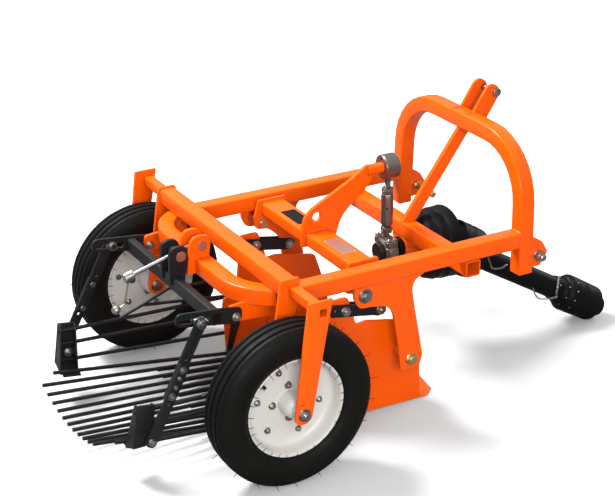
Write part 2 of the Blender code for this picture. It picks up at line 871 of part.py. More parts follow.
def make_con_rod():
    """The bearing ring on the arm's pin, the turnbuckle under it and the strap round the eccentric."""
    head = turned(
        [
            (RING_BORE, RING_Y[0]),
            (RING_RADIUS - 0.003, RING_Y[0]),
            (RING_RADIUS, RING_Y[0] + 0.003),
            (RING_RADIUS, RING_Y[1] - 0.003),
            (RING_RADIUS - 0.003, RING_Y[1]),
            (RING_BORE, RING_Y[1]),
        ],
        (0, 0, ARM_PIN_Z),
        (0, 1, 0),
        closed=True,
    )
    stack = [
        # lower, upper, radius, sides
        (0.555, ARM_PIN_Z - RING_RADIUS + 0.006, 0.010, 12),
        (0.573, 0.588, 0.0165, 6),
        (0.466, 0.567, 0.0165, 16),
        (0.418, 0.475, 0.010, 12),
        (0.438, 0.452, 0.0165, 6),
    ]
    bars = [
        cylinder((0, ROD_Y, low), (0, ROD_Y, high), radius, count) for low, high, radius, count in stack
    ]
    strap = turned(
        [
            (0, STRAP_Y[0]),
            (STRAP_BORE + 0.004, STRAP_Y[0]),
            (STRAP_RADIUS - 0.004, STRAP_Y[0] + 0.004),
            (STRAP_RADIUS, STRAP_Y[0] + 0.010),
            (STRAP_RADIUS, STRAP_Y[1] - 0.003),
            (STRAP_RADIUS - 0.003, STRAP_Y[1]),
            (STRAP_BORE, STRAP_Y[1]),
            (STRAP_BORE, STRAP_Y[0] + 0.006),
            (0, STRAP_Y[0] + 0.006),
        ],
        (0, 0, SHAFT_Z),
        (0, 1, 0),
    )
    cap = cylinder(
        (0, STRAP_Y[0] - 0.016, SHAFT_Z), (0, STRAP_Y[0] + 0.002, SHAFT_Z), ECCENTRIC_RADIUS
    )
    part("connecting_rod", fused(head, *bars, strap, cap), STEEL, "con_rod")


def make_links():
    """Two flat bars a side, inside and outside the plates, held by their two bolts."""
    run = Vector(LINK_REAR) - Vector(LINK_FRONT)
    along = run.normalized()
    side = Vector((-along.y, along.x)) * LINK_WIDTH / 2
    start = Vector(LINK_FRONT) - along * LINK_WIDTH * 0.52
    end = Vector(LINK_REAR) + along * 0.050
    bar_outline = rounded(
        [
            (*(start + side), 0.014),
            (*(start - side), 0.014),
            (*(end - side), 0.010),
            (*(end + side), 0.010),
        ]
    )
    spare = Vector(LINK_REAR) + along * 0.033
    inner_x = SIDE_PLATE_X - RUNNING
    outer_x = SIDE_PLATE_X + PLATE + RUNNING
    for name, sign in sides():
        pieces = [
            plate("X", across(sign, low, low + LINK_THICK), bar_outline, [ring(spare, 0.006)])
            for low in (inner_x - LINK_THICK, outer_x)
        ]
        for at in (LINK_FRONT, LINK_REAR):
            pieces.append(
                pin(sign, inner_x - LINK_THICK - 0.008, outer_x + LINK_THICK + 0.008, at, LINK_BOLT_RADIUS)
            )
            pieces.append(nut(sign, inner_x - LINK_THICK - 0.006, inner_x - 0.002, at, 0.013))
            pieces.append(nut(sign, outer_x + 0.002, outer_x + LINK_THICK + 0.006, at, 0.013))
        part(f"share_link_{name}", fused(*pieces), BLACK, f"link_{name}")


# ---------------------------------------------------------------- share


def blade_height(y):
    """Height of the blade's underside."""
    return BLADE_RISE * (BLADE_NOSE_Y - y) / (BLADE_NOSE_Y - BLADE_REAR_Y)


def make_share():
    outer = SIDE_PLATE_X + PLATE
    blade = plate(
        "Z",
        (0, BLADE_THICK),
        [
            (-outer, BLADE_REAR_Y),
            (outer, BLADE_REAR_Y),
            (outer, 0.268),
            (0.245, 0.302),
            (0, BLADE_NOSE_Y),
            (-0.245, 0.302),
            (-outer, 0.268),
        ],
    )
    for point in blade.data.vertices:
        if point.co.z > BLADE_THICK / 2 and point.co.y > 0.2:
            point.co.y -= BLADE_BEVEL
        point.co.z += blade_height(point.co.y)
    part("share_blade", blade, ORANGE, "share")

    def foot(y):
        return blade_height(y) + BLADE_THICK + SEAT

    front_y, rear_y = 0.236, -0.143
    outline = rounded(
        [
            (-0.088, 0.402, 0.010),
            (-0.026, 0.402, 0.010),
            (0.004, 0.307, 0.014),
            (0.040, 0.311, 0.014),
            (0.182, 0.281, 0.012),
            (0.209, 0.203, 0.040),
            (0.232, 0.118, 0.060),
            (front_y, foot(front_y)),
            (rear_y, foot(rear_y)),
            (-0.153, 0.173, 0.006),
            (-0.149, 0.200, 0.006),
            (-0.104, 0.203, 0.024),
        ]
    )
    for name, sign in sides():
        bores = [
            ring(SHARE_PIVOT, PIVOT_RADIUS + SEAT),
            ring(LINK_REAR, LINK_BOLT_RADIUS + SEAT),
            ring(GRATE_HINGE, LINK_BOLT_RADIUS + SEAT),
        ]
        side = plate("X", across(sign, SIDE_PLATE_X, outer), outline, bores)
        part(f"share_side_{name}", side, ORANGE, "share")


# ---------------------------------------------------------------- grate


def trough(x):
    """Height of the rods' tips: a shallow trough, lowest in the middle."""
    return 0.064 + 0.95 * x * x


def make_grate():
    """The rods that lie as a shallow trough, on a flat bar in front and a bent bar behind."""
    pieces = []
    middle = (ROD_COUNT - 1) / 2
    for k in range(ROD_COUNT):
        x = (k - middle) * ROD_PITCH
        tip = Vector((x, GRATE_TIP_Y, trough(x)))
        front = Vector((x * 1.02, GRATE_FRONT_Y, GRATE_FRONT_Z))
        pieces.append(rod([front, tip], ROD_RADIUS))
    ear_x = SIDE_PLATE_X - RUNNING
    for sign in (-1, 1):
        x = sign * ROD_PITCH * (middle + 1)
        tip = Vector((x, GRATE_TIP_Y + 0.050, 0.1095))
        pieces.append(rod([Vector((x, GRATE_FRONT_Y, GRATE_FRONT_Z)), tip], ROD_RADIUS))
    bar = block(
        (-ear_x + 0.001, ear_x - 0.001), (GRATE_FRONT_Y - 0.010, GRATE_FRONT_Y + 0.010),
        (GRATE_FRONT_Z - 0.009, GRATE_FRONT_Z + 0.003),
    )
    pieces.append(bar)
    share_of_run = (GRATE_BEAM_Y - GRATE_FRONT_Y) / (GRATE_TIP_Y - GRATE_FRONT_Y)
    beam = []
    for k in range(-6, 7):
        x = k * ROD_PITCH
        z = GRATE_FRONT_Z + (trough(x) - GRATE_FRONT_Z) * share_of_run
        beam.append((x, GRATE_BEAM_Y, z - ROD_RADIUS * 1.4))
    beam[0] = (-BOX_PLATE_X + SEAT, GRATE_BEAM_Y, beam[1][2] + 0.012)
    beam[-1] = (BOX_PLATE_X - SEAT, GRATE_BEAM_Y, beam[-2][2] + 0.012)
    pieces.append(rod(beam, ROD_RADIUS))
    grate = fused(*pieces)
    for _, sign in sides():
        ear = plate(
            "X",
            across(sign, ear_x - 0.008, ear_x),
            rounded(
                [
                    (GRATE_FRONT_Y - 0.008, GRATE_FRONT_Z - 0.006),
                    (GRATE_FRONT_Y + 0.010, GRATE_FRONT_Z - 0.006),
                    (GRATE_FRONT_Y + 0.012, GRATE_FRONT_Z + 0.006),
                    (GRATE_HINGE[0] + 0.016, GRATE_FRONT_Z + 0.012),
                    (GRATE_HINGE[0] + 0.016, GRATE_HINGE[1] + 0.018, 0.014),
                    (GRATE_HINGE[0] - 0.016, GRATE_HINGE[1] + 0.018, 0.014),
                ]
            ),
        )
        bolt = pin(sign, ear_x - 0.010, SIDE_PLATE_X + PLATE + 0.016, GRATE_HINGE, LINK_BOLT_RADIUS)
        grate = fused(grate, ear, bolt)
    part("grate_rods", grate, BLACK, "grate")


def make_grate_sides():
    """The fences beside the grate: an end plate behind, a front plate on the share and rods between."""
    plate_in = SIDE_PLATE_X + PLATE + RUNNING
    plate_out = plate_in + 0.008
    front_outline = rounded(
        [
            (-0.142, 0.052, 0.004),
            (-0.092, 0.036, 0.004),
            (-0.088, 0.205, 0.006),
            (-0.130, 0.212, 0.006),
            (-0.142, 0.190, 0.006),
        ]
    )
    end_outline = rounded(
        [
            (-0.711, 0.245, 0.003),
            (-0.726, 0.124, 0.006),
            (-0.692, 0.062, 0.006),
            (-0.652, 0.072, 0.004),
            (-0.650, 0.238, 0.003),
        ]
    )
    fences = [
        # rear y, rear z, front y, front z
        (-0.655, 0.2165, -0.125, 0.196),
        (-0.655, 0.1730, -0.110, 0.140),
        (-0.660, 0.1190, -0.110, 0.068),
    ]
    fence_x = plate_out - ROD_RADIUS * 0.35
    for name, sign in sides():
        pieces = [
            plate(
                "X",
                across(sign, plate_in, plate_out),
                front_outline,
                [ring(GRATE_HINGE, LINK_BOLT_RADIUS + SEAT)],
            ),
            plate("X", across(sign, BOX_PLATE_X, BOX_PLATE_X + 0.008), end_outline),
        ]
        x = sign * fence_x
        for rear_y, rear_z, front_y, front_z in fences:
            pieces.append(rod([(x, rear_y, rear_z), (x, front_y, front_z)], ROD_RADIUS))
        guard = [(x, -0.500, 0.2105), (x, -0.423, 0.238), (x, -0.335, 0.272), (x, -0.150, 0.262), (x, -0.120, 0.200)]
        pieces.append(rod(guard, ROD_RADIUS * 0.85))
        boss = pin(sign, BOX_PLATE_X + 0.006, 0.300, STRAP_FOOT, 0.012)
        pieces.append(boss)
        part(f"grate_side_{name}", fused(*pieces), BLACK, "grate")


def make_straps():
    """The bars that hang the grate's rear end from the slots of the hanger."""
    inner = 0.3015
    run = (Vector(STRAP_FOOT) - Vector(STRAP_HEAD)).normalized()
    side = Vector((-run.y, run.x)) * 0.019
    start = Vector(STRAP_HEAD) - run * 0.016
    end = Vector(STRAP_FOOT) + run * 0.020
    outline = rounded(
        [
            (*(start + side), 0.010),
            (*(start - side), 0.010),
            (*(end - side), 0.010),
            (*(end + side), 0.010),
        ]
    )
    holes = [ring(Vector(STRAP_FOOT) - run * far, 0.005, 8) for far in (0.150, 0.175, 0.200)]
    for name, sign in sides():
        bar = plate("X", across(sign, inner, inner + 0.008), outline, holes)
        head = pin(sign, HANGER_PLATE_X - 0.012, inner + 0.020, STRAP_HEAD, SLOT_HALF - RUNNING)
        washer = pin(sign, HANGER_PLATE_X + HANGER_PLATE_THICK + SEAT, inner + 0.002, STRAP_HEAD, 0.012)
        head_nut = nut(sign, inner + 0.006, inner + 0.018, STRAP_HEAD, 0.013)
        rear_nut = nut(sign, HANGER_PLATE_X - 0.010, HANGER_PLATE_X - SEAT, STRAP_HEAD, 0.013)
        foot_nut = nut(sign, inner + 0.006, inner + 0.016, STRAP_FOOT, 0.013)
        strap = fused(bar, head, washer, head_nut, rear_nut, foot_nut)
        part(f"grate_strap_{name}", strap, BLACK, f"strap_{name}")


# ---------------------------------------------------------------- hanger


def make_hanger():
    """The crossbar with its two slotted plates and the lugs for the adjusting screw."""
    inner = HANGER_PLATE_X
    bar = square_tube("X", (-inner - 0.006, inner + 0.006), CROSSBAR_Y, CROSSBAR_Z, 0.003, 0.004)
    pieces = [bar]
    for _, sign in sides():
        outline = rounded(
            [
                (-0.578, 0.486, 0.019),
                (-0.430, 0.472, 0.010),
                (-0.376, 0.462, 0.012),
                (-0.376, 0.428, 0.014),
                (-0.400, 0.418, 0.010),
                (-0.578, 0.447, 0.019),
            ]
        )
        slot = stadium(SLOT_REAR, SLOT_FRONT, SLOT_HALF)
        slotted = plate(
            "X",
            across(sign, inner, inner + HANGER_PLATE_THICK),
            outline,
            [slot, ring(HANGER_PIVOT, 0.0065)],
        )
        pieces.append(slotted)
        pin_y, pin_z = BLACK_PIN
        lug = rounded(
            [
                (CROSSBAR_Y[0] - 0.006, CROSSBAR_Z[0] + 0.018, 0.002),
                (CROSSBAR_Y[1] + 0.014, CROSSBAR_Z[0] + 0.018, 0.002),
                (pin_y + 0.022, pin_z - 0.01, 0.004),
                (pin_y + 0.020, pin_z + 0.032, 0.020),
                (pin_y - 0.036, pin_z + 0.032, 0.024),
            ]
        )
        pieces.append(plate("X", across(sign, CLEVIS_X, CLEVIS_X + CLEVIS_THICK), lug))
    hanger = fused(*pieces)
    bores = [
        pin(sign, CLEVIS_X - 0.002, CLEVIS_X + CLEVIS_THICK + 0.002, BLACK_PIN, CLEVIS_PIN_RADIUS + SEAT)
        for _, sign in sides()
    ]
    part("grate_hanger", cut(hanger, *bores), BLACK, "frame")


def make_screw():
    """The screw that tilts the hanger: two cross pins, the rod through them and its crank."""
    start = Vector((0, *ORANGE_PIN))
    along = (Vector((0, *BLACK_PIN)) - start).normalized()
    end = start + along * SCREW_LENGTH
    reach = CLEVIS_X + CLEVIS_THICK + 0.001
    hub_start = end - along * 0.010
    hub_end = end + along * 0.018
    ball = Vector((0, -0.604, 0.361))
    knee = hub_start + Vector((0, 0.004, -0.030))
    pieces = [
        cylinder(start - along * 0.035, end, SCREW_RADIUS, 10),
        pin(1, -reach, reach, ORANGE_PIN, CLEVIS_PIN_RADIUS),
        pin(1, -reach, reach, BLACK_PIN, CLEVIS_PIN_RADIUS),
        cylinder(start - along * 0.032, start - along * 0.020, 0.011, 6),
        cylinder(hub_start, hub_end, 0.0155, 16),
        rod([(hub_start + hub_end) / 2, knee, ball + Vector((0, 0.004, 0.008)), ball], 0.004),
    ]
    knob = bmesh.new()
    bmesh.ops.create_uvsphere(
        knob, u_segments=12, v_segments=8, radius=0.0145, matrix=Matrix.Translation(ball)
    )
    pieces.append(solid_from(knob))
    part("adjusting_screw", fused(*pieces), ZINC, "frame")


# ---------------------------------------------------------------- wheels


def make_wheels():
    for name, sign in sides():
        body = f"wheel_{name}"
        centre = (sign * WHEEL_X, *AXLE)
        facing = (sign, 0, 0)
        hub_reach = FORK_OUTER_X - COLLAR_THICK - RUNNING - WHEEL_X
        bore = AXLE_RADIUS + SEAT
        seat = RIM_SEAT_RADIUS
        flange = RIM_FLANGE_RADIUS
        rim = turned(
            [
                (flange, 0.044),
                (flange, 0.040),
                (seat, 0.040),
                (seat, -0.040),
                (flange, -0.040),
                (flange, -0.044),
                (seat - 0.004, -0.044),
                (seat - 0.004, 0.004),
                (0.104, 0.006),
                (0.085, 0.013),
                (0.062, 0.005),
                (HUB_RADIUS, 0.005),
                (HUB_RADIUS, -hub_reach),
                (bore, -hub_reach),
                (bore, hub_reach),
                (0.020, hub_reach),
                (HUB_RADIUS, 0.034),
                (HUB_RADIUS, 0.009),
                (0.062, 0.009),
                (0.085, 0.017),
                (0.104, 0.010),
                (seat - 0.004, 0.008),
                (seat - 0.004, 0.044),
            ],
            centre,
            facing,
            WHEEL_STEPS,
            closed=True,
        )
        part(f"rim_{name}", rim, WHITE, body)
        half = TYRE_WIDTH / 2
        bead = seat + SEAT
        crown = [
            (bead, 0.0395),
            (flange + 0.001, 0.0395),
            (0.165, 0.055),
            (0.188, half),
            (0.212, half - 0.002),
            (0.2335, half - 0.014),
            (0.2375, 0.030),
            (0.2325, 0.028),
            (0.2325, 0.023),
            (TYRE_RADIUS, 0.020),
        ]
        section = crown + [(radius, -height) for radius, height in reversed(crown)]
        tyre = turned(section, centre, facing, WHEEL_STEPS, closed=True)
        part(f"tyre_{name}", tyre, RUBBER, body)


# ---------------------------------------------------------------- drive


def make_drive():
    rear = FRONT_TUBE_Y - TUBE / 2 - SEAT
    front = CUP_REAR_Y - SEAT
    bore_radius = SHAFT_RADIUS + RUNNING
    housing = turned(
        [
            (bore_radius, rear - 0.016),
            (0.026, rear - 0.016),
            (BEARING_RADIUS, rear - 0.006),
            (BEARING_RADIUS, front),
            (bore_radius, front),
        ],
        (0, 0, SHAFT_Z),
        (0, 1, 0),
        16,
        closed=True,
    )
    foot_top = RAIL_BOTTOM - SEAT - TUBE - SEAT
    foot = block((-0.050, 0.050), (rear + 0.004, rear + 0.050), (SHAFT_Z + 0.016, foot_top))
    bore = cylinder((0, rear - 0.02, SHAFT_Z), (0, front + 0.01, SHAFT_Z), bore_radius)
    part("input_bearing", cut(fused(housing, foot), bore), ORANGE, "frame")
    joint_face = DRIVE_START[1] - JOINT_RADIUS - SEAT
    shaft = fused(
        cylinder((0, STRAP_Y[1] - 0.014, SHAFT_Z), (0, joint_face, SHAFT_Z), SHAFT_RADIUS),
        cylinder((0, front + 0.012, SHAFT_Z), (0, joint_face, SHAFT_Z), 0.028, 16),
    )
    part("input_shaft", shaft, STEEL, "input_shaft")
    make_cup()
    make_driveline()


def make_cup():
    """The plastic cup round the input shaft, open in front."""
    cup = turned(
        [
            (0.027, CUP_REAR_Y),
            (0.084, CUP_REAR_Y),
            (0.100, CUP_REAR_Y + 0.010),
            (0.110, CUP_REAR_Y + 0.038),
            (0.116, CUP_REAR_Y + 0.112),
            (0.112, CUP_REAR_Y + 0.112),
            (0.106, CUP_REAR_Y + 0.040),
            (0.096, CUP_REAR_Y + 0.013),
            (0.082, CUP_REAR_Y + 0.004),
            (0.027, CUP_REAR_Y + 0.004),
        ],
        (0, 0, SHAFT_Z - 0.014),
        (0, 1, 0),
        28,
        closed=True,
    )
    part("input_cup", cup, PLASTIC, "frame")


def make_driveline():
    """Two telescoping guard tubes with their bells, and the yoke for the tractor."""
    start = Vector(DRIVE_START)
    run = Vector(DRIVE_END) - start
    along = run.normalized()
    length = run.length
    bell = length - 0.105

    def at(distance):
        return start + along * distance

    cone_rear, cone_front = 0.060, 0.176
    bulkhead = cone_rear + 0.017
    bore = INNER_GUARD_RADIUS - GUARD_WALL
    mouth = GUARD_RADIUS + RUNNING
    cone_bore = CONE_RADIUS - 0.004
    rear_guard = turned(
        [
            (CONE_RADIUS, cone_rear),
            (CONE_RADIUS, cone_front - 0.030),
            (CONE_RADIUS - 0.012, cone_front - 0.012),
            (mouth + 0.009, cone_front),
            (mouth, cone_front),
            (mouth, cone_front - 0.004),
            (CONE_RADIUS - 0.016, cone_front - 0.016),
            (cone_bore, cone_front - 0.032),
            (cone_bore, bulkhead + 0.005),
            (INNER_GUARD_RADIUS, bulkhead + 0.005),
            (INNER_GUARD_RADIUS, cone_front + 0.230),
            (bore, cone_front + 0.230),
            (bore, bulkhead),
            (cone_bore, bulkhead),
            (cone_bore, cone_rear),
        ],
        start,
        along,
        28,
        closed=True,
    )
    part("guard_rear", rear_guard, PLASTIC, "frame")
    knuckle = bmesh.new()
    bmesh.ops.create_uvsphere(
        knuckle,
        u_segments=16,
        v_segments=8,
        radius=JOINT_RADIUS,
        matrix=Matrix.Translation(start) @ Matrix.Rotation(math.radians(90), 4, "X"),
    )
    shaft = fused(
        cylinder(start, at(cone_front + 0.200), 0.015, 12),
        cylinder(at(0.020), at(0.070), 0.026, 16),
        cylinder(at(cone_front + 0.010), at(cone_front + 0.030), bore - FIT, 20),
        solid_from(knuckle),
    )
    part("drive_shaft", shaft, STEEL, "drive_shaft")
    bore = GUARD_RADIUS - GUARD_WALL
    front_guard = turned(
        [
            (GUARD_RADIUS, cone_front - 0.004),
            (GUARD_RADIUS, bell - 0.012),
            (GUARD_RADIUS + 0.010, bell - 0.006),
            (GUARD_RADIUS + 0.012, bell + 0.004),
            (BELL_RADIUS - 0.004, bell + 0.010),
            (BELL_RADIUS, bell + 0.018),
            (BELL_RADIUS, bell + 0.036),
            (BELL_RADIUS - 0.003, bell + 0.132),
            (BELL_RADIUS - 0.007, bell + 0.137),
            (BELL_RADIUS - 0.010, bell + 0.137),
            (BELL_RADIUS - 0.010, bell + 0.022),
            (bore, bell + 0.014),
            (bore, cone_front - 0.004),
        ],
        start,
        along,
        24,
        closed=True,
    )
    part("guard_front", front_guard, PLASTIC, "driveline")
    yoke_end = bell + 0.175
    yoke = fused(
        cylinder(at(bell + 0.118), at(yoke_end), 0.033, 20),
        cylinder(at(bell + 0.016), at(bell + 0.122), 0.022, 16),
        cylinder(at(bell - 0.020), at(bell + 0.018), bore - FIT, 20),
    )
    socket = cylinder(at(yoke_end - 0.055), at(yoke_end + 0.01), 0.0175, 16)
    part("tractor_yoke", cut(yoke, socket), PLASTIC, "tractor_yoke")


# ---------------------------------------------------------------- assembly


def centre_on_origin(machine):
    """Moves the machine so that the middle of its length lies over the origin."""
    bpy.context.view_layer.update()
    reach = [
        (obj.matrix_world @ Vector(corner)).y
        for obj in PARTS.objects
        if obj.type == "MESH"
        for corner in obj.bound_box
    ]
    machine.location.y = -(min(reach) + max(reach)) / 2
    bpy.context.view_layer.update()


def main():
    make_rails()
    make_cross_tubes()
    make_arch()
    make_top_link()
    make_brace()
    make_lower_hitch()
    make_forks()
    make_bow()
    make_legs()
    make_rocker()
    make_con_rod()
    make_links()
    make_share()
    make_grate()
    make_grate_sides()
    make_straps()
    make_hanger()
    make_screw()
    make_wheels()
    make_drive()
    centre_on_origin(MACHINE)


clear_scene()
PARTS = new_collection("potato_harvester")
MACHINE = empty_at("machine", (0, 0, 0))
BODIES = {
    name: empty_at(f"body_{name}", place, MACHINE)
    for name, place in (
        ("frame", (0, 0, 0)),
        ("wheel_left", (-WHEEL_X, *AXLE)),
        ("wheel_right", (WHEEL_X, *AXLE)),
        ("rocker", (0, *ROCKER_PIVOT)),
        ("con_rod", (0, sum(RING_Y) / 2, ARM_PIN_Z)),
        ("link_left", (-SIDE_PLATE_X, *LINK_FRONT)),
        ("link_right", (SIDE_PLATE_X, *LINK_FRONT)),
        ("share", (0, *SHARE_PIVOT)),
        ("grate", (0, *GRATE_HINGE)),
        ("strap_left", (-HANGER_PLATE_X, *STRAP_HEAD)),
        ("strap_right", (HANGER_PLATE_X, *STRAP_HEAD)),
        ("input_shaft", (0, FRONT_TUBE_Y, SHAFT_Z)),
        ("drive_shaft", DRIVE_START),
        ("driveline", DRIVE_START),
        ("tractor_yoke", DRIVE_END),
    )
}
main()
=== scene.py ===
"""Looks of the potato harvester: finishes on its solids, and the fine pieces round them.

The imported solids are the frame. The wheels, the bolts and pins, the mast's plates and brace, the outer
wheel plates, the grate and its straps, the connecting rod, the screw and the driveline's guards are
replaced by finer pieces; welds, plates, chains and small hardware are added. Metres, +Z up, +Y forward.
"""

import json
import math
import random

import bmesh
import bpy
from mathutils import Matrix, Vector


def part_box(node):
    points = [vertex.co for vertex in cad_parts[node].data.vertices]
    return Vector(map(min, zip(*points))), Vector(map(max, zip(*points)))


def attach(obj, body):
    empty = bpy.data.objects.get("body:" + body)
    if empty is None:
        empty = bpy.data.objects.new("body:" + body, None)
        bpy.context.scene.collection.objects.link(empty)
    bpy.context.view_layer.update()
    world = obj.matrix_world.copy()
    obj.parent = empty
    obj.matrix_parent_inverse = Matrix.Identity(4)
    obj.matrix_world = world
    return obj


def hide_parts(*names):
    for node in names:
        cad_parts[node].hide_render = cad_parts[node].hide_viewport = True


bl_info = {
    "name": "Potato Harvester Looks",
    "version": (1, 0, 0),
    "blender": (4, 5, 0),
    "location": "View3D > Sidebar > Harvester",
    "description": "Models the finishes and fine pieces of a one-row potato harvester",
    "category": "Object",
}

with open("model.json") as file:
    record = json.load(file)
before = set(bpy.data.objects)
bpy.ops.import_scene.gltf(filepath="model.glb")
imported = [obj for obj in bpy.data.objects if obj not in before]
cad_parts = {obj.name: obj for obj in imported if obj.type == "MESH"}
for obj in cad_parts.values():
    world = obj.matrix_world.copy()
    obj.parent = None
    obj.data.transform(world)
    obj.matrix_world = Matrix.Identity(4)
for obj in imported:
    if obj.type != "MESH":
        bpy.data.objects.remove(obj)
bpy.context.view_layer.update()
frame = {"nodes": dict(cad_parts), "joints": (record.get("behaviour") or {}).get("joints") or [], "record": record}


def middle(node):
    """The middle of a solid's box."""
    low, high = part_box(node)
    return (low + high) / 2


def faces(node, sign):
    """Where a solid's inner and outer faces lie across the machine, on its left (-1) or right (1)."""
    low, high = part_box(node)
    return (low.x, high.x) if sign > 0 else (high.x, low.x)


def joint_place(name):
    """Where a joint sits."""
    found = next(joint for joint in frame["joints"] if joint["name"] == name)
    return Vector(found["pos_m"])


SIDES = (("left", -1), ("right", 1))
X_AXIS = Vector((1, 0, 0))
Y_AXIS = Vector((0, 1, 0))
Z_AXIS = Vector((0, 0, 1))

# Places that come from the frame.
WHEEL_CENTRE = {name: joint_place(f"wheel_{name}_spin") for name, _ in SIDES}
ROCKER_PIVOT = joint_place("rocker_swing")
SHARE_PIVOT = joint_place("share_swing")
GRATE_HINGE = joint_place("grate_swing")
LINK_FRONT = joint_place("link_right_swing")
STRAP_HEAD = joint_place("strap_right_swing")
SHAFT_PLACE = joint_place("input_shaft_spin")
JOINT_PLACE = joint_place("drive_shaft_spin")
SHAFT_END = joint_place("tractor_yoke_spin")
ALONG_SHAFT = (SHAFT_END - JOINT_PLACE).normalized()
SHAFT_LENGTH = (SHAFT_END - JOINT_PLACE).length
BELL = SHAFT_LENGTH - 0.105  # from the rear joint along the shaft to the bell of the front guard
ROD_PLACE = joint_place("con_rod_swing")
REAR_TUBE = middle("rear_cross_tube")
MACHINE_Y = middle("front_cross_tube").y - 0.36  # from the middle of the length to the frame's own zero


def at(x, y, z):
    """A point given from the frame's own zero along its length."""
    return Vector((x, y + MACHINE_Y, z))


# ---------------------------------------------------------------- settings


class HarvesterPaint(bpy.types.PropertyGroup):
    """Colours of the machine's finishes."""

    orange: bpy.props.FloatVectorProperty(
        name="Frame paint", description="Gloss powder coat of the frame", subtype="COLOR",
        size=4, default=(1.0, 0.104, 0.001, 1.0), min=0, max=1,
    )
    black: bpy.props.FloatVectorProperty(
        name="Grate paint", description="Satin powder coat of the grate and hanger", subtype="COLOR",
        size=4, default=(0.01, 0.0105, 0.0115, 1.0), min=0, max=1,
    )
    rim: bpy.props.FloatVectorProperty(
        name="Rim enamel", description="Enamel of the two rims", subtype="COLOR",
        size=4, default=(0.62, 0.6, 0.565, 1.0), min=0, max=1,
    )
    plastic: bpy.props.FloatVectorProperty(
        name="Guard plastic", description="Moulded plastic of the shaft guards", subtype="COLOR",
        size=4, default=(0.004, 0.004, 0.0045, 1.0), min=0, max=1,
    )
    rubber: bpy.props.FloatVectorProperty(
        name="Tyre rubber", description="Rubber of the tyres", subtype="COLOR",
        size=4, default=(0.0065, 0.0065, 0.006, 1.0), min=0, max=1,
    )


class HarvesterSizes(bpy.types.PropertyGroup):
    """Sizes of the fine pieces."""

    weld_radius: bpy.props.FloatProperty(
        name="Weld bead", description="Half the width of a weld bead", unit="LENGTH",
        default=0.0032, min=0.001, max=0.008,
    )
    vent_length: bpy.props.FloatProperty(
        name="Vent hair", description="Length of the rubber hairs that moulding leaves on a tyre",
        unit="LENGTH", default=0.022, min=0.0, max=0.03,
    )
    vent_count: bpy.props.IntProperty(
        name="Vent hairs a row", description="Number of hairs round each shoulder", default=22, min=0, max=60,
    )
    chain_wire: bpy.props.FloatProperty(
        name="Chain wire", description="Radius of the safety chain's wire", unit="LENGTH",
        default=0.0011, min=0.0005, max=0.003,
    )
    edge_radius: bpy.props.FloatProperty(
        name="Edge rounding", description="Radius of the paint over cut edges", unit="LENGTH",
        default=0.0014, min=0.0002, max=0.004,
    )


# ---------------------------------------------------------------- modelling

WELD_GAP = 0.00001  # points nearer than this are one point
SHARP_EDGE = math.radians(40)  # sharper edges than this are rounded
NUT_CHAMFER = 0.07  # height of a nut's chamfer, as a share of its radius
THREAD_PITCH, THREAD_ROOT, THREAD_CREST = 0.28, 0.86, 0.99  # shares of a bolt's radius


def only(*objects):
    """Selects these objects alone and makes the first one active."""
    bpy.ops.object.select_all(action="DESELECT")
    for obj in objects:
        obj.select_set(True)
    bpy.context.view_layer.objects.active = objects[0]


def edit(obj, kind="VERT"):
    """Opens a piece for editing, with nothing of it selected."""
    only(obj)
    bpy.ops.object.mode_set(mode="EDIT")
    bpy.ops.mesh.select_mode(type=kind)
    bpy.ops.mesh.select_all(action="DESELECT")


def leave():
    """Closes the piece that is being edited."""
    bpy.ops.object.mode_set(mode="OBJECT")


def choose(obj, kind, test):
    """Selects the vertices, edges or faces of the edited piece that pass a test."""
    shape = bmesh.from_edit_mesh(obj.data)
    for element in getattr(shape, kind):
        element.select_set(bool(test(element)))
    shape.select_flush_mode()
    bmesh.update_edit_mesh(obj.data)


def clean(obj, gap=WELD_GAP):
    """Merges doubled points and turns every face outwards."""
    edit(obj)
    bpy.ops.mesh.select_all(action="SELECT")
    bpy.ops.mesh.remove_doubles(threshold=gap)
    bpy.ops.mesh.normals_make_consistent(inside=False)
    leave()


def settle(obj, centre=(0, 0, 0), along=Z_AXIS, roll=0.0):
    """Turns a piece from +Z to a direction, moves it to its place, and puts both into its mesh."""
    only(obj)
    turn = Vector(along).to_track_quat("Z", "Y").to_matrix().to_4x4()
    spin = Matrix.Rotation(roll, 4, "Z")
    obj.matrix_world = Matrix.Translation(Vector(centre)) @ turn @ spin @ obj.matrix_world
    bpy.ops.object.transform_apply(location=True, rotation=True, scale=True)
    return obj


def turned(stations, sides=48, centre=(0, 0, 0), along=Z_AXIS, closed=False):
    """A piece of revolution: a circle that is extruded and widened through (radius, height) stations."""
    radius, height = stations[0]
    bpy.ops.object.select_all(action="DESELECT")
    bpy.ops.mesh.primitive_circle_add(
        vertices=sides, radius=radius, fill_type="NOTHING" if closed else "NGON", location=(0, 0, 0)
    )
    piece = bpy.context.active_object
    bpy.ops.object.mode_set(mode="EDIT")
    bpy.ops.mesh.select_mode(type="EDGE")
    bpy.ops.mesh.select_all(action="SELECT")
    bpy.ops.transform.translate(value=(0, 0, height))
    for next_radius, next_height in stations[1:]:
        if closed:
            bpy.ops.mesh.extrude_edges_move(TRANSFORM_OT_translate={"value": (0, 0, next_height - height)})
        else:
            bpy.ops.mesh.extrude_region_move(TRANSFORM_OT_translate={"value": (0, 0, next_height - height)})
        factor = next_radius / radius
        bpy.ops.transform.resize(value=(factor, factor, 1), center_override=(0, 0, next_height))
        radius, height = next_radius, next_height
    leave()
    if closed:
        edit(piece, "EDGE")
        bpy.ops.mesh.select_all(action="SELECT")
        bpy.ops.mesh.region_to_loop()
        bpy.ops.mesh.bridge_edge_loops()
        leave()
    clean(piece)
    return settle(piece, centre, along)


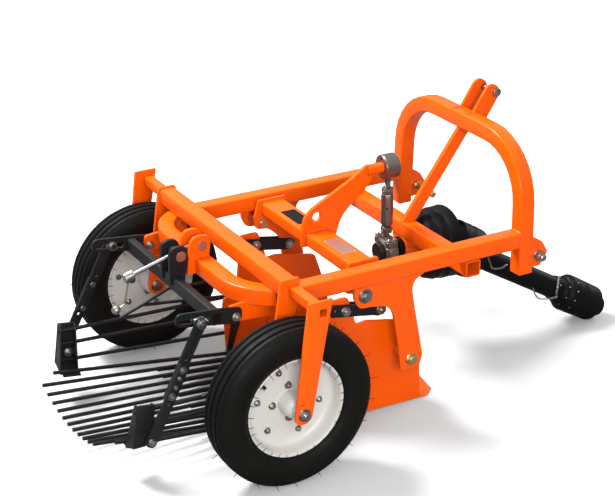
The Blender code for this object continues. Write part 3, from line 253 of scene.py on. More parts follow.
def bar(points, radius, sides=12, radii=None, loop=False):
    """A round bar along points, made from a curve; radii give a factor at each point."""
    curve = bpy.data.curves.new("bar", "CURVE")
    curve.dimensions = "3D"
    curve.bevel_depth = radius
    curve.bevel_resolution = max(0, sides // 2 - 2)
    curve.use_fill_caps = not loop
    spline = curve.splines.new("POLY")
    spline.points.add(len(points) - 1)
    spline.use_cyclic_u = loop
    for index, place in enumerate(points):
        spline.points[index].co = (*place, 1)
        spline.points[index].radius = radii[index] if radii else 1.0
    piece = bpy.data.objects.new("bar", curve)
    bpy.context.scene.collection.objects.link(piece)
    only(piece)
    bpy.ops.object.convert(target="MESH")
    piece = bpy.context.active_object
    clean(piece)
    return piece


def mm(*stations):
    """The stations of a profile, given in millimetres."""
    return [(radius / 1000, height / 1000) for radius, height in stations]


def raised(stations, height):
    """The stations of a profile, all of them higher."""
    return [(radius, height + distance) for radius, distance in stations]


def block(size, place=(0, 0, 0)):
    """A block of a size with its middle at a place."""
    bpy.ops.object.select_all(action="DESELECT")
    bpy.ops.mesh.primitive_cube_add(size=1, location=place)
    piece = bpy.context.active_object
    piece.scale = size
    bpy.ops.object.transform_apply(location=True, rotation=False, scale=True)
    return piece


def slab(thick, width, length):
    """A flat bar that stands on +Z from the origin, thick along X and wide along Y."""
    return block((thick, width, length), (0, 0, length / 2))


def shaped(low, high, moves=()):
    """A block between two corners; a move takes the corners on the sides that its signs name."""
    low, high = Vector(low), Vector(high)
    centre = (low + high) / 2
    piece = block([abs(b - a) for a, b in zip(low, high)], centre)
    picked = [
        [all(sign * (vertex.co[axis] - centre[axis]) >= 0 for axis, sign in enumerate(signs))
         for vertex in piece.data.vertices]
        for signs, _ in moves
    ]
    for chosen, (_, move) in zip(picked, moves):
        edit(piece)
        choose(piece, "verts", lambda vertex: chosen[vertex.index])
        bpy.ops.transform.translate(value=move)
        leave()
    return piece


def smooth_path(points, steps=6):
    """Points on a curve that runs smoothly through the given ones."""
    points = [Vector(point) for point in points]
    path = []
    for index, (start, end) in enumerate(zip(points, points[1:])):
        before = points[index - 1] if index else start * 2 - end
        after = points[index + 2] if index + 2 < len(points) else end * 2 - start
        for step in range(steps):
            t = step / steps
            path.append(
                (start * 2 + (end - before) * t + (before * 2 - start * 5 + end * 4 - after) * t * t
                 + (start * 3 - before - end * 3 + after) * t * t * t) / 2
            )
    return path + [points[-1]]


def joined(name, *pieces):
    """One object from several, under a name."""
    only(*pieces)
    if len(pieces) > 1:
        bpy.ops.object.join()
    piece = bpy.context.active_object
    piece.name = name
    piece.data.name = name
    return piece


def copy_of(piece, centre, along=Z_AXIS, roll=0.0):
    """A copy of a piece that stands at the origin, with its own mesh, put in its place."""
    twin = piece.copy()
    twin.data = piece.data.copy()
    bpy.context.scene.collection.objects.link(twin)
    return settle(twin, centre, along, roll)


def discard(*pieces):
    """Removes patterns that were only copied from."""
    for piece in pieces:
        bpy.data.objects.remove(piece, do_unlink=True)


def spread(pattern, *spots):
    """Copies of a pattern at spots of place, direction and roll; the pattern itself is removed."""
    pieces = [copy_of(pattern, *spot) for spot in spots]
    discard(pattern)
    return pieces


def applied(piece, kind, **settings):
    """Adds a modifier to a piece, sets it and applies it."""
    only(piece)
    modifier = piece.modifiers.new(kind.lower(), kind)
    for key, value in settings.items():
        setattr(modifier, key, value)
    bpy.ops.object.modifier_apply(modifier=modifier.name)
    return piece


def softened(piece, width, segments=2):
    """Rounds a piece's sharp edges."""
    return applied(piece, "BEVEL", width=width, segments=segments, limit_method="ANGLE",
                   angle_limit=SHARP_EDGE)


def carved(piece, tool):
    """Takes a tool's volume out of a piece, and removes the tool."""
    applied(piece, "BOOLEAN", object=tool)
    discard(tool)
    return piece


def drill(piece, radius, start, end, sides=24):
    """Bores a round hole through a piece from one point to another."""
    start, end = Vector(start), Vector(end)
    length = (end - start).length
    return carved(piece, turned([(radius, 0.0), (radius, length)], sides, start, (end - start).normalized()))


def sliced(piece, place, away):
    """Cuts a piece along a plane and keeps the side that the direction leaves."""
    edit(piece)
    bpy.ops.mesh.select_all(action="SELECT")
    bpy.ops.mesh.bisect(plane_co=place, plane_no=away, use_fill=True, clear_outer=True)
    leave()
    return piece


def round_end(piece, height, radius, segments=12):
    """Rounds the end of a flat bar that lies at a height."""
    edit(piece, "EDGE")
    choose(piece, "edges", lambda edge: all(abs(v.co.z - height) < 0.001 for v in edge.verts)
           and abs(edge.verts[0].co.y - edge.verts[1].co.y) < 0.001)
    bpy.ops.mesh.bevel(offset=radius, segments=segments)
    leave()
    return piece


def leaned(piece, x, along, foot):
    """Turns a flat bar from +Z to a direction along the machine, and sets its foot down at a place."""
    piece.matrix_world = Matrix(
        ((1, 0, 0, x), (0, along.z, along.y, foot.y), (0, -along.y, along.z, foot.z), (0, 0, 0, 1))
    )
    only(piece)
    bpy.ops.object.transform_apply(location=True, rotation=True, scale=True)
    return piece


def finish(pieces, name, look, body, replaces=(), angle=35):
    """Joins pieces under a name, paints them, and hangs them on the body that they move with.

    The slot is the look's own name.
    """
    piece = joined(name, *pieces)
    piece.data.materials.clear()
    piece.data.materials.append(FINISHES[look])
    only(piece)
    bpy.ops.object.shade_smooth_by_angle(angle=math.radians(angle))
    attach(piece, body)
    if replaces:
        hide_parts(*replaces)


# ---------------------------------------------------------------- fasteners


def hexagon(radius, height, low=0.0):
    """A hexagon head or nut on +Z from a height, its top corners turned off."""
    bpy.ops.object.select_all(action="DESELECT")
    bpy.ops.mesh.primitive_cylinder_add(
        vertices=6, radius=radius, depth=height, location=(0, 0, low + height / 2)
    )
    piece = bpy.context.active_object
    bpy.ops.object.transform_apply(location=True, rotation=False, scale=False)
    edit(piece, "FACE")
    choose(piece, "faces", lambda face: face.normal.z > 0.5)
    bpy.ops.mesh.inset(thickness=radius * 0.1, depth=0)
    bpy.ops.transform.translate(value=(0, 0, radius * NUT_CHAMFER))
    bpy.ops.mesh.inset(thickness=radius * 0.03, depth=0)
    leave()
    return piece


def washer(outer, inner, low, high):
    """A flat washer with rounded rims."""
    lip = (high - low) * 0.3
    stations = [(inner, low), (outer - lip, low), (outer, low + lip), (outer, high - lip),
                (outer - lip, high), (inner, high)]
    return turned(stations, 32, closed=True)


def thread(radius, low, high, sides=20):
    """The ringed end of a bolt, with its chamfer."""
    pitch = radius * THREAD_PITCH
    root = radius * THREAD_ROOT
    stations = [(root, low)]
    for turn in range(max(1, int((high - low - pitch) / pitch))):
        start = low + turn * pitch
        stations += [(radius * THREAD_CREST, start + pitch * 0.4), (root, start + pitch * 0.85)]
    stations += [(radius * 0.96, high - pitch * 0.5), (radius * 0.8, high)]
    return turned(stations, sides)


def bolt_end(shank, nut, nut_height, washer_radius=0.0, washer_height=0.0, out=0.0, collar=False):
    """What shows of a bolt on one face: washer, nut or head and thread. It stands on +Z from zero."""
    pieces = []
    low = 0.0
    if washer_radius:
        pieces.append(washer(washer_radius, shank, 0.0, washer_height))
        low = washer_height
    pieces.append(hexagon(nut, nut_height, low))
    top = low + nut_height + nut * NUT_CHAMFER
    if collar:
        crown = top + nut * 0.22
        stations = [(nut * 0.8, top - 0.001), (nut * 0.8, top + nut * 0.14), (nut * 0.72, crown),
                    (shank, crown)]
        pieces.append(turned(stations, 28))
        top += nut * 0.22
    if out:
        pieces.append(thread(shank, top - 0.001, top + out))
    return joined("bolt_end", *pieces)


# ---------------------------------------------------------------- shader groups


def wire(tree, node, feeds):
    """Gives a node's sockets values, or links where the value is a socket itself."""
    for label, value in feeds.items():
        if hasattr(value, "links"):
            tree.links.new(value, node.inputs[label])
        elif value is not None:
            node.inputs[label].default_value = value


def add_node(tree, kind, feeds, **settings):
    """A shader node with its settings, and with values or links at its sockets."""
    node = tree.nodes.new(kind)
    for key, value in settings.items():
        setattr(node, key, value)
    wire(tree, node, feeds)
    return node


def maths(tree, operation, first, second, clamp=False):
    """A Math node, its inputs numbers or sockets."""
    feeds = {0: first, 1: second}
    return add_node(tree, "ShaderNodeMath", feeds, operation=operation, use_clamp=clamp).outputs[0]


def scaled_to(tree, value, low, high, to_low, to_high):
    """A Map Range node that keeps within its ends."""
    feeds = {"Value": value, "From Min": low, "From Max": high, "To Min": to_low, "To Max": to_high}
    return add_node(tree, "ShaderNodeMapRange", feeds, clamp=True).outputs["Result"]


def placed_at(tree, output="Object"):
    """The coordinates of the point that is shaded."""
    return tree.nodes.new("ShaderNodeTexCoord").outputs[output]


def noise(tree, scale, detail=3.0, roughness=0.5, stretch=None):
    """Noise on the object's coordinates, stretched along an axis where asked."""
    place = placed_at(tree)
    if stretch:
        place = add_node(tree, "ShaderNodeMapping", {"Scale": stretch, "Vector": place}).outputs["Vector"]
    feeds = {"Scale": scale, "Detail": detail, "Roughness": roughness, "Vector": place}
    return add_node(tree, "ShaderNodeTexNoise", feeds).outputs["Fac"]


def height_of(tree, place):
    """The third coordinate of a place."""
    return add_node(tree, "ShaderNodeSeparateXYZ", {0: place}).outputs["Z"]


def mixed(tree, factor, first, second):
    """A colour mix, its inputs colours or sockets."""
    feeds = {0: factor, 6: first, 7: second}
    return add_node(tree, "ShaderNodeMix", feeds, data_type="RGBA").outputs[2]


def new_group(name, inputs, outputs):
    """A shader node group with named sockets; returns it with its input and output nodes."""
    group = bpy.data.node_groups.new(name, "ShaderNodeTree")
    for label, kind, value in inputs:
        socket = group.interface.new_socket(label, in_out="INPUT", socket_type=kind)
        socket.default_value = value
    for label, kind in outputs:
        group.interface.new_socket(label, in_out="OUTPUT", socket_type=kind)
    return group, group.nodes.new("NodeGroupInput"), group.nodes.new("NodeGroupOutput")


FLOAT = "NodeSocketFloat"
COLOUR = "NodeSocketColor"
VECTOR = "NodeSocketVector"
DUST = (0.2, 0.16, 0.12, 1)


def coat_group():
    """Paint: its slow change of tone, its orange peel, handling marks and the dust low on the machine."""
    group, given, out = new_group(
        "painted_coat",
        [
            ("Color", COLOUR, (1, 1, 1, 1)), ("Tone", FLOAT, 0.08), ("Roughness", FLOAT, 0.3),
            ("Smudges", FLOAT, 0.12), ("Peel", FLOAT, 0.5), ("Dust", FLOAT, 0.15),
        ],
        [("Color", COLOUR), ("Roughness", FLOAT), ("Height", FLOAT)],
    )
    tone = scaled_to(group, noise(group, 5.0, 4.0), 0.3, 0.7, -1.0, 1.0)
    lightness = maths(group, "ADD", maths(group, "MULTIPLY", tone, given.outputs["Tone"]), 1.0)
    feeds = {"Value": lightness, "Color": given.outputs["Color"]}
    toned = add_node(group, "ShaderNodeHueSaturation", feeds).outputs["Color"]
    low = scaled_to(group, height_of(group, placed_at(group)), 0.0, 0.3, 1.0, 0.0)
    specks = scaled_to(group, noise(group, 60.0, 6.0, 0.65), 0.42, 0.72, 0.0, 1.0)
    dusty = maths(group, "MULTIPLY", maths(group, "MULTIPLY", low, specks), given.outputs["Dust"], True)
    marks = scaled_to(group, noise(group, 26.0, 5.0, 0.6), 0.35, 0.75, 0.0, 1.0)
    wear_and_painted_highlight = maths(group, "MULTIPLY", marks, given.outputs["Smudges"])
    rough = maths(group, "ADD", given.outputs["Roughness"], wear_and_painted_highlight)
    wire(group, out, {
        "Color": mixed(group, dusty, toned, DUST),
        "Roughness": maths(group, "ADD", rough, maths(group, "MULTIPLY", dusty, 0.4), True),
        "Height": maths(group, "MULTIPLY", noise(group, 260.0, 2.0), given.outputs["Peel"]),
    })


def edge_group():
    """Rounded edges: the normal that a small radius gives, and a mask of where the edge is, for a painted
    highlight.
    """
    group, given, out = new_group(
        "rounded_edges",
        [("Amount", FLOAT, 1.0)],
        [("Normal", VECTOR), ("Edge", FLOAT)],
    )
    radius = bpy.context.scene.harvester_sizes.edge_radius
    rounded = add_node(group, "ShaderNodeBevel", {"Radius": radius}, samples=4).outputs["Normal"]
    plain = group.nodes.new("ShaderNodeNewGeometry").outputs["Normal"]
    dot = add_node(group, "ShaderNodeVectorMath", {0: rounded, 1: plain}, operation="DOT_PRODUCT")
    edge = scaled_to(group, dot.outputs["Value"], 0.8, 0.995, 1.0, 0.0)
    broken = scaled_to(group, noise(group, 55.0, 5.0, 0.6), 0.4, 0.62, 0.25, 1.0)
    masked = maths(group, "MULTIPLY", edge, broken)
    shown = maths(group, "MULTIPLY", masked, given.outputs["Amount"], True)
    wire(group, out, {"Edge": shown, "Normal": rounded})


def metal_group():
    """Worked steel: fine tool marks, stains and dull patches."""
    group, given, out = new_group(
        "worked_metal",
        [
            ("Color", COLOUR, (0.6, 0.6, 0.6, 1)), ("Stain", COLOUR, (0.2, 0.15, 0.1, 1)),
            ("Stains", FLOAT, 0.3), ("Roughness", FLOAT, 0.3), ("Spread", FLOAT, 0.2),
        ],
        [("Color", COLOUR), ("Roughness", FLOAT), ("Height", FLOAT)],
    )
    patches = scaled_to(group, noise(group, 70.0, 6.0, 0.65), 0.45, 0.75, 0.0, 1.0)
    stained = maths(group, "MULTIPLY", patches, given.outputs["Stains"], True)
    fine = scaled_to(group, noise(group, 400.0, 4.0, 0.6), 0.3, 0.7, 0.0, 1.0)
    spread_out = maths(group, "MULTIPLY", fine, given.outputs["Spread"])
    dull = maths(group, "ADD", spread_out, maths(group, "MULTIPLY", stained, 0.3))
    wire(group, out, {
        "Color": mixed(group, stained, given.outputs["Color"], given.outputs["Stain"]),
        "Roughness": maths(group, "ADD", dull, given.outputs["Roughness"], True),
        "Height": noise(group, 180.0, 3.0, 0.5, stretch=(1.0, 8.0, 8.0)),
    })


def group_node(tree, name, **values):
    """The outputs of one of the shared groups, placed in a material with its values."""
    feeds = {key.title(): value for key, value in values.items()}
    return add_node(tree, "ShaderNodeGroup", feeds, node_tree=bpy.data.node_groups[name]).outputs


def new_material(name):
    """A material with an empty Principled shader; returns it, its tree and the shader."""
    material = bpy.data.materials.new(name)
    material.use_nodes = True
    tree = material.node_tree
    return material, tree, tree.nodes["Principled BSDF"]


def bumped(tree, height, strength, distance, normal=None):
    """The normal that a height gives, on top of another normal if there is one."""
    feeds = {"Strength": strength, "Distance": distance, "Height": height, "Normal": normal}
    return add_node(tree, "ShaderNodeBump", feeds).outputs["Normal"]


BOUNCED = (0.16, 0.1, 0.08, 1)  # what a finish throws on its neighbours, for the share that bounce says


def painted(name, colour, wear_and_painted_highlight, tone=0.06, roughness=0.25, smudges=0.12, peel=0.5, dust=0.15, edges=0.5,
            coat=0.0, specular=0.5, bounce=0.0):
    """A painted finish with rounded edges and a painted highlight that makes them slightly lighter."""
    material, tree, shader = new_material(name)
    film = group_node(tree, "painted_coat", color=colour, tone=tone, roughness=roughness, smudges=smudges,
                      peel=peel, dust=dust)
    edge = group_node(tree, "rounded_edges", amount=edges)
    # The edge mask mixes in a lighter colour: a painted highlight along every rounded edge.
    tinted = mixed(tree, edge["Edge"], film["Color"], wear_and_painted_highlight)
    indirect = tree.nodes.new("ShaderNodeLightPath").outputs["Is Diffuse Ray"]
    wire(tree, shader, {
        "Base Color": mixed(tree, maths(tree, "MULTIPLY", indirect, bounce), tinted, BOUNCED),
        "Roughness": film["Roughness"],
        "Coat Weight": coat,
        "Coat Roughness": 0.08,
        "Specular IOR Level": specular,
        "Normal": bumped(tree, film["Height"], 0.1, 0.0006, edge["Normal"]),
    })
    return material


def metal(name, colour, stain, stains=0.3, roughness=0.28, spread=0.15, marks=0.15):
    """A bare or plated steel finish."""
    material, tree, shader = new_material(name)
    steel = group_node(tree, "worked_metal", color=colour, stain=stain, stains=stains, roughness=roughness,
                       spread=spread)
    wire(tree, shader, {
        "Base Color": steel["Color"],
        "Roughness": steel["Roughness"],
        "Metallic": 1.0,
        "Normal": bumped(tree, steel["Height"], marks, 0.0004),
    })
    return material


FINISHES = {}


def make_finishes():
    """Builds the shared groups and then every finish of the machine."""
    coat_group()
    edge_group()
    metal_group()
    paint = bpy.context.scene.harvester_paint
    orange = tuple(paint.orange)
    # The third colour of each painted finish is its painted edge highlight, a lighter tone of its paint.
    FINISHES["orange_paint"] = painted(
        "orange_powder_coat", orange, (1.0, 0.3, 0.05, 1), tone=0.05, roughness=0.2, smudges=0.1,
        peel=0.7, dust=0.04, edges=0.35, coat=0.06, specular=0.22, bounce=0.85,
    )
    FINISHES["black_paint"] = painted(
        "black_powder_coat", tuple(paint.black), (0.04, 0.04, 0.043, 1), tone=0.2, roughness=0.34,
        smudges=0.16, peel=0.9, dust=0.03, edges=0.6, specular=0.25,
    )
    FINISHES["rim_enamel"] = painted(
        "rim_grey_enamel", tuple(paint.rim), (0.72, 0.7, 0.66, 1), tone=0.04, roughness=0.3,
        smudges=0.14, peel=0.5, dust=0.1, edges=0.3,
    )
    FINISHES["guard_plastic"] = painted(
        "guard_moulded_plastic", tuple(paint.plastic), (0.012, 0.012, 0.012, 1), tone=0.15, roughness=0.4,
        smudges=0.15, peel=1.0, dust=0.01, edges=0.3, specular=0.1,
    )
    FINISHES["zinc_plating"] = metal(
        "bright_zinc", (0.38, 0.38, 0.37, 1), (0.13, 0.125, 0.115, 1), 0.45, 0.26, 0.14
    )
    FINISHES["dull_zinc"] = metal("dull_zinc", (0.3, 0.295, 0.285, 1), (0.1, 0.1, 0.095, 1), 0.45, 0.24, 0.14)
    FINISHES["yellow_zinc"] = metal(
        "yellow_chromate_zinc", (0.66, 0.5, 0.24, 1), (0.44, 0.42, 0.36, 1), 0.6, 0.26, 0.15
    )
    FINISHES["bare_steel"] = metal(
        "machined_steel", (0.23, 0.215, 0.195, 1), (0.13, 0.12, 0.11, 1), 0.4, 0.3, 0.16, 0.25
    )
    FINISHES["pin_steel"] = metal(
        "oiled_pin_steel", (0.42, 0.32, 0.26, 1), (0.2, 0.15, 0.12, 1), 0.5, 0.34, 0.16, 0.25
    )
    FINISHES["plate_silver"] = metal(
        "blank_silver_plate", (0.6, 0.57, 0.52, 1), (0.42, 0.4, 0.36, 1), 0.2, 0.32, 0.1, 0.1
    )
    FINISHES["plate_black"] = painted(
        "blank_black_plate", (0.004, 0.004, 0.004, 1), (0.1, 0.1, 0.1, 1), tone=0.1, roughness=0.28,
        smudges=0.1, peel=0.2, dust=0.0, edges=0.1, specular=0.12,
    )
    FINISHES["tyre_rubber"] = make_rubber(tuple(paint.rubber))
    FINISHES["vent_rubber"] = painted(
        "vent_hair_rubber", (0.006, 0.006, 0.006, 1), (0.01, 0.01, 0.01, 1), roughness=0.6, dust=0.0,
        edges=0.0, specular=0.2,
    )
    FINISHES["weld_orange"] = painted(
        "painted_weld", orange, (1.0, 0.28, 0.05, 1), tone=0.12, roughness=0.26, smudges=0.2,
        peel=2.2, dust=0.1, edges=0.2, coat=0.25,
    )


def make_rubber(colour):
    """Tyre rubber: matt, with a bloom on the sidewalls and a fine moulded grain."""
    material, tree, shader = new_material("tyre_black_rubber")
    film = group_node(tree, "painted_coat", color=colour, tone=0.25, roughness=0.42, smudges=0.22, peel=1.0,
                      dust=0.02)
    bloom = scaled_to(tree, noise(tree, 9.0, 6.0, 0.6), 0.4, 0.75, 0.0, 0.5)
    wire(tree, shader, {
        "Base Color": mixed(tree, bloom, film["Color"], (0.0075, 0.0075, 0.007, 1)),
        "Roughness": film["Roughness"],
        "Specular IOR Level": 0.07,
        "Normal": bumped(tree, noise(tree, 700.0, 3.0), 0.12, 0.0004),
    })
    return material


def round_shading(node):
    """Shades a solid's curved faces smooth and keeps its cut edges sharp."""
    only(node)
    bpy.ops.mesh.customdata_custom_splitnormals_clear()
    bpy.ops.object.shade_smooth()
    weld = node.modifiers.new("weld", "WELD")
    weld.merge_threshold = WELD_GAP
    split = node.modifiers.new("split", "EDGE_SPLIT")
    split.split_angle = math.radians(32)


# ---------------------------------------------------------------- operators


class HARVESTER_OT_finishes(bpy.types.Operator):
    """Paints the solids of the machine"""

    bl_idname = "harvester.finishes"
    bl_label = "Paint the Solids"

    def execute(self, context):
        make_finishes()
        slots = {row["node"]: row["material_slot"] for row in frame["record"]["subparts"]}
        for name, node in frame["nodes"].items():
            node.data.materials.clear()
            node.data.materials.append(FINISHES[slots[name]])
            round_shading(node)
        return {"FINISHED"}


# Radius and distance from the middle plane: from the bead over the sidewall to the shoulder.
TYRE_SIDE = mm(
    (141, 37.5), (147, 39.2), (150, 40.5), (153.5, 45.5), (160, 50.8), (170, 55.6), (180, 57.8),
    (190, 58.8), (200, 58.8), (208, 58.2), (209.5, 57.4), (216.5, 55.5), (224, 52), (230, 47.8),
    (233, 44.6), (235.2, 42), (237.5, 39.5), (238, 37), (238.2, 30.5), (237.2, 29.2), (233, 28),
    (232, 26.5), (232, 24), (233, 22.6), (238.4, 21.2), (239.5, 20), (240, 16), (240, 6), (239, 4.8),
    (235, 4), (234, 3),
)
WALL_HAIRS, OUTER_HAIRS = 30, 9  # on each sidewall: low round the rim, and far out
GROUND_SIDE = 0.7  # hairs lie flat where the cosine of their angle from straight down is more


def make_tyre(name, sign):
    """A ribbed implement tyre, with the rubber hairs that its mould leaves."""
    sizes = bpy.context.scene.harvester_sizes
    centre = WHEEL_CENTRE[name]
    section = TYRE_SIDE + [(radius, -offset) for radius, offset in reversed(TYRE_SIDE)]
    tyre = turned(section, 144, centre, X_AXIS * sign, closed=True)
    finish([tyre], f"tyre_ribbed_{name}", "tyre_rubber", f"wheel_{name}", [f"tyre_{name}"], angle=28)
    chance = random.Random(7 if sign > 0 else 11)
    pattern = turned([(0.00095, -0.002), (0.0009, 0.4), (0.0005, 1.0)], 5)
    hairs = []

    def strand(angle, radius, offset, length, lean=None):
        """One hair at an angle round the wheel; lean 0 points outwards, 1 sideways, none lies on the wall."""
        outwards = Vector((0, math.sin(angle), -math.cos(angle)))
        side = X_AXIS * math.copysign(1, offset)
        if lean is None:
            direction = side * 0.22 - outwards * 0.97
        else:
            direction = (outwards * (1 - abs(lean)) + side * lean).normalized()
        twin = pattern.copy()
        twin.data = pattern.data.copy()
        bpy.context.scene.collection.objects.link(twin)
        twin.data.transform(Matrix.Diagonal((1, 1, length, 1)))
        hairs.append(settle(twin, centre + outwards * radius + X_AXIS * offset, direction))

    step = 2 * math.pi / sizes.vent_count
    for row, offset in enumerate((0.04, -0.04)):
        for index in range(sizes.vent_count):
            angle = (index + 0.5 * row) * step + chance.uniform(-0.05, 0.05)
            lean = 0.8 if math.cos(angle) > GROUND_SIDE else chance.uniform(-0.05, 0.3)
            strand(angle, 0.235, offset, sizes.vent_length * chance.uniform(0.75, 1.1), lean)
    for offset in (0.0455, -0.0455):
        for index in range(WALL_HAIRS):
            angle = index * 2 * math.pi / WALL_HAIRS + chance.uniform(-0.04, 0.04)
            strand(angle, 0.152, offset, chance.uniform(0.016, 0.022))
    for offset in (0.0585, -0.0585):
        for _ in range(OUTER_HAIRS):
            angle = chance.uniform(0, 2 * math.pi)
            strand(angle, chance.uniform(0.186, 0.204), offset, 0.006, 0.85)
    discard(pattern)
    finish(hairs, f"vent_hairs_{name}", "vent_rubber", f"wheel_{name}")


def make_rim(name, sign):
    """A pressed rim with its dished disc, domed hub and bolts."""
    centre = WHEEL_CENTRE[name]
    lip = mm((148, 40.5), (148, 42.5), (147, 43.7), (145.4, 44), (143.6, 43.4), (141.8, 41.6), (140, 38))
    barrel = mm((138.6, 33), (137.4, 20), (136.4, 11), (134, 4), (130, -0.5), (124, -3.2), (117, -4.2))
    disc = mm((90, -4.2), (70, -3.6), (48, -3.6), (39, -3.4), (35.2, -2), (34, 1))
    hub = mm(
        (33.5, 28), (32.2, 35), (30, 40.2), (26.5, 44.5), (22, 47.8), (19, 49.5), (18, 52), (18, 68),
        (11, 68), (11, -68), (33, -68), (34, -66), (34, -10), (38, -8.4),
    )
    back = mm((118, -8.4), (127, -9.2), (133, -12.5), (136.2, -19), (137.4, -28), (138.8, -34))
    seat = mm((144, -40), (141.8, -38.5), (140.6, -36.5), (140.6, 36.5), (141.8, 38.5), (144, 40))
    stations = lip + barrel + disc + hub + back + [(r, -h) for r, h in reversed(lip)] + seat
    outward = X_AXIS * sign
    rim = turned(stations, 96, centre, outward, closed=True)
    finish([rim], f"rim_pressed_{name}", "rim_enamel", f"wheel_{name}", [f"rim_{name}"], angle=40)
    outer = bolt_end(0.0044, 0.0078, 0.005, 0.0096, 0.0014, 0.0045)
    inner = bolt_end(0.0052, 0.0092, 0.0056, 0.0112, 0.0016, 0.003)
    pieces = []
    for pattern, count, radius, start in ((outer, 6, 0.099, 48), (inner, 4, 0.0505, 1)):
        for index in range(count):
            angle = math.radians(start + index * 360 / count)
            spoke = Vector((0, math.cos(angle), math.sin(angle)))
            for facing, surface in ((1, -0.004), (-1, -0.0084)):
                place = centre + spoke * radius + outward * surface
                pieces.append(copy_of(pattern, place, outward * facing, chance_turn(index, facing)))
    discard(outer, inner)
    finish(pieces, f"rim_bolts_{name}", "dull_zinc", f"wheel_{name}", angle=30)
    spoke = Vector((0, math.cos(2.42), math.sin(2.42)))
    start = centre + spoke * 0.131 + outward * 0.004
    valve = turned(
        mm((5.8, 0), (6.2, 4), (4.8, 7), (4, 16), (4.8, 17), (4.8, 26), (3.6, 28)),
        20, start, outward * 0.8 - spoke * 0.6,
    )
    finish([valve], f"valve_{name}", "vent_rubber", f"wheel_{name}")


def chance_turn(index, facing):
    """A different roll for each nut of a ring."""
    return (index * 37 % 60) * math.pi / 180 * facing


class HARVESTER_OT_wheels(bpy.types.Operator):
    """Models both wheels: tyres, rims, bolts and valves"""

    bl_idname = "harvester.wheels"
    bl_label = "Wheels"

    def execute(self, context):
        for name, sign in SIDES:
            make_tyre(name, sign)
            make_rim(name, sign)
        return {"FINISHED"}


PLATE_LEAN = math.radians(33.2)
PLATE_RUN = 0.15  # from a mast plate's foot to the top link's pin
PLATE_WIDTH = 0.0565
PLATE_SHORT = 0.0095  # what its round end lacks of half its width beyond the pin
BRACE_WIDTH, BRACE_CUT = 0.04, 0.0566  # the cut is the length of its level end


class HARVESTER_OT_mast(bpy.types.Operator):
    """Models the top link's two plates and the flat brace under the arch"""

    bl_idname = "harvester.mast"
    bl_label = "Mast Plates and Brace"

    def execute(self, context):
        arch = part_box("hitch_arch")[1]
        pin = middle("top_link_pin")
        lean = Vector((0, math.sin(PLATE_LEAN), math.cos(PLATE_LEAN)))
        foot = pin - Vector((0, lean.z, -lean.y)) * 0.0124 - lean * PLATE_RUN
        top = PLATE_RUN - PLATE_SHORT + PLATE_WIDTH / 2
        for name, _ in SIDES:
            low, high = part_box(f"top_link_plate_{name}")
            x = (low.x + high.x) / 2
            flats = (slab(high.x - low.x, PLATE_WIDTH, top) for _ in range(2))
            upper, lower = (leaned(round_end(flat, top, PLATE_WIDTH * 0.49), x, lean, foot) for flat in flats)
            sliced(upper, (0, 0, arch.z), (0, 0, -1))
            sliced(lower, (0, 0, arch.z), (0, 0, 1))
            sliced(lower, (0, arch.y + 0.0002, 0), (0, -1, 0))
            sliced(lower, (0, 0, arch.z - 0.03), (0, 0, -1))
            plate = joined("plate", upper, lower)
            clean(plate, 0.0001)
            carved(plate, turned([(0.0108, -0.02), (0.0108, 0.02)], 32, (x, pin.y, pin.z), X_AXIS))
            finish([plate], f"top_link_clevis_{name}", "orange_paint", "frame", [f"top_link_plate_{name}"])
        self.brace()
        return {"FINISHED"}

    def brace(self):
        """The flat bar from the arch to the front cross tube, its ends cut level."""
        low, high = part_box("mast_brace")
        run = Vector((0, high.y - low.y - BRACE_CUT, high.z - low.z))
        lean = run.normalized()
        foot = Vector((0, high.y - run.y - 0.5 * BRACE_WIDTH / lean.z, low.z)) - lean * 0.05
        brace = leaned(slab(0.014, BRACE_WIDTH, run.length + 0.1), 0, lean, foot)
        sliced(brace, (0, 0, low.z), (0, 0, -1))
        sliced(brace, (0, 0, high.z), (0, 0, 1))
        clean(brace)
        finish([brace], "mast_brace_bar", "orange_paint", "frame", ["mast_brace"])


HITCH_NUT_TOP = 0.0182  # from a lug's outer face


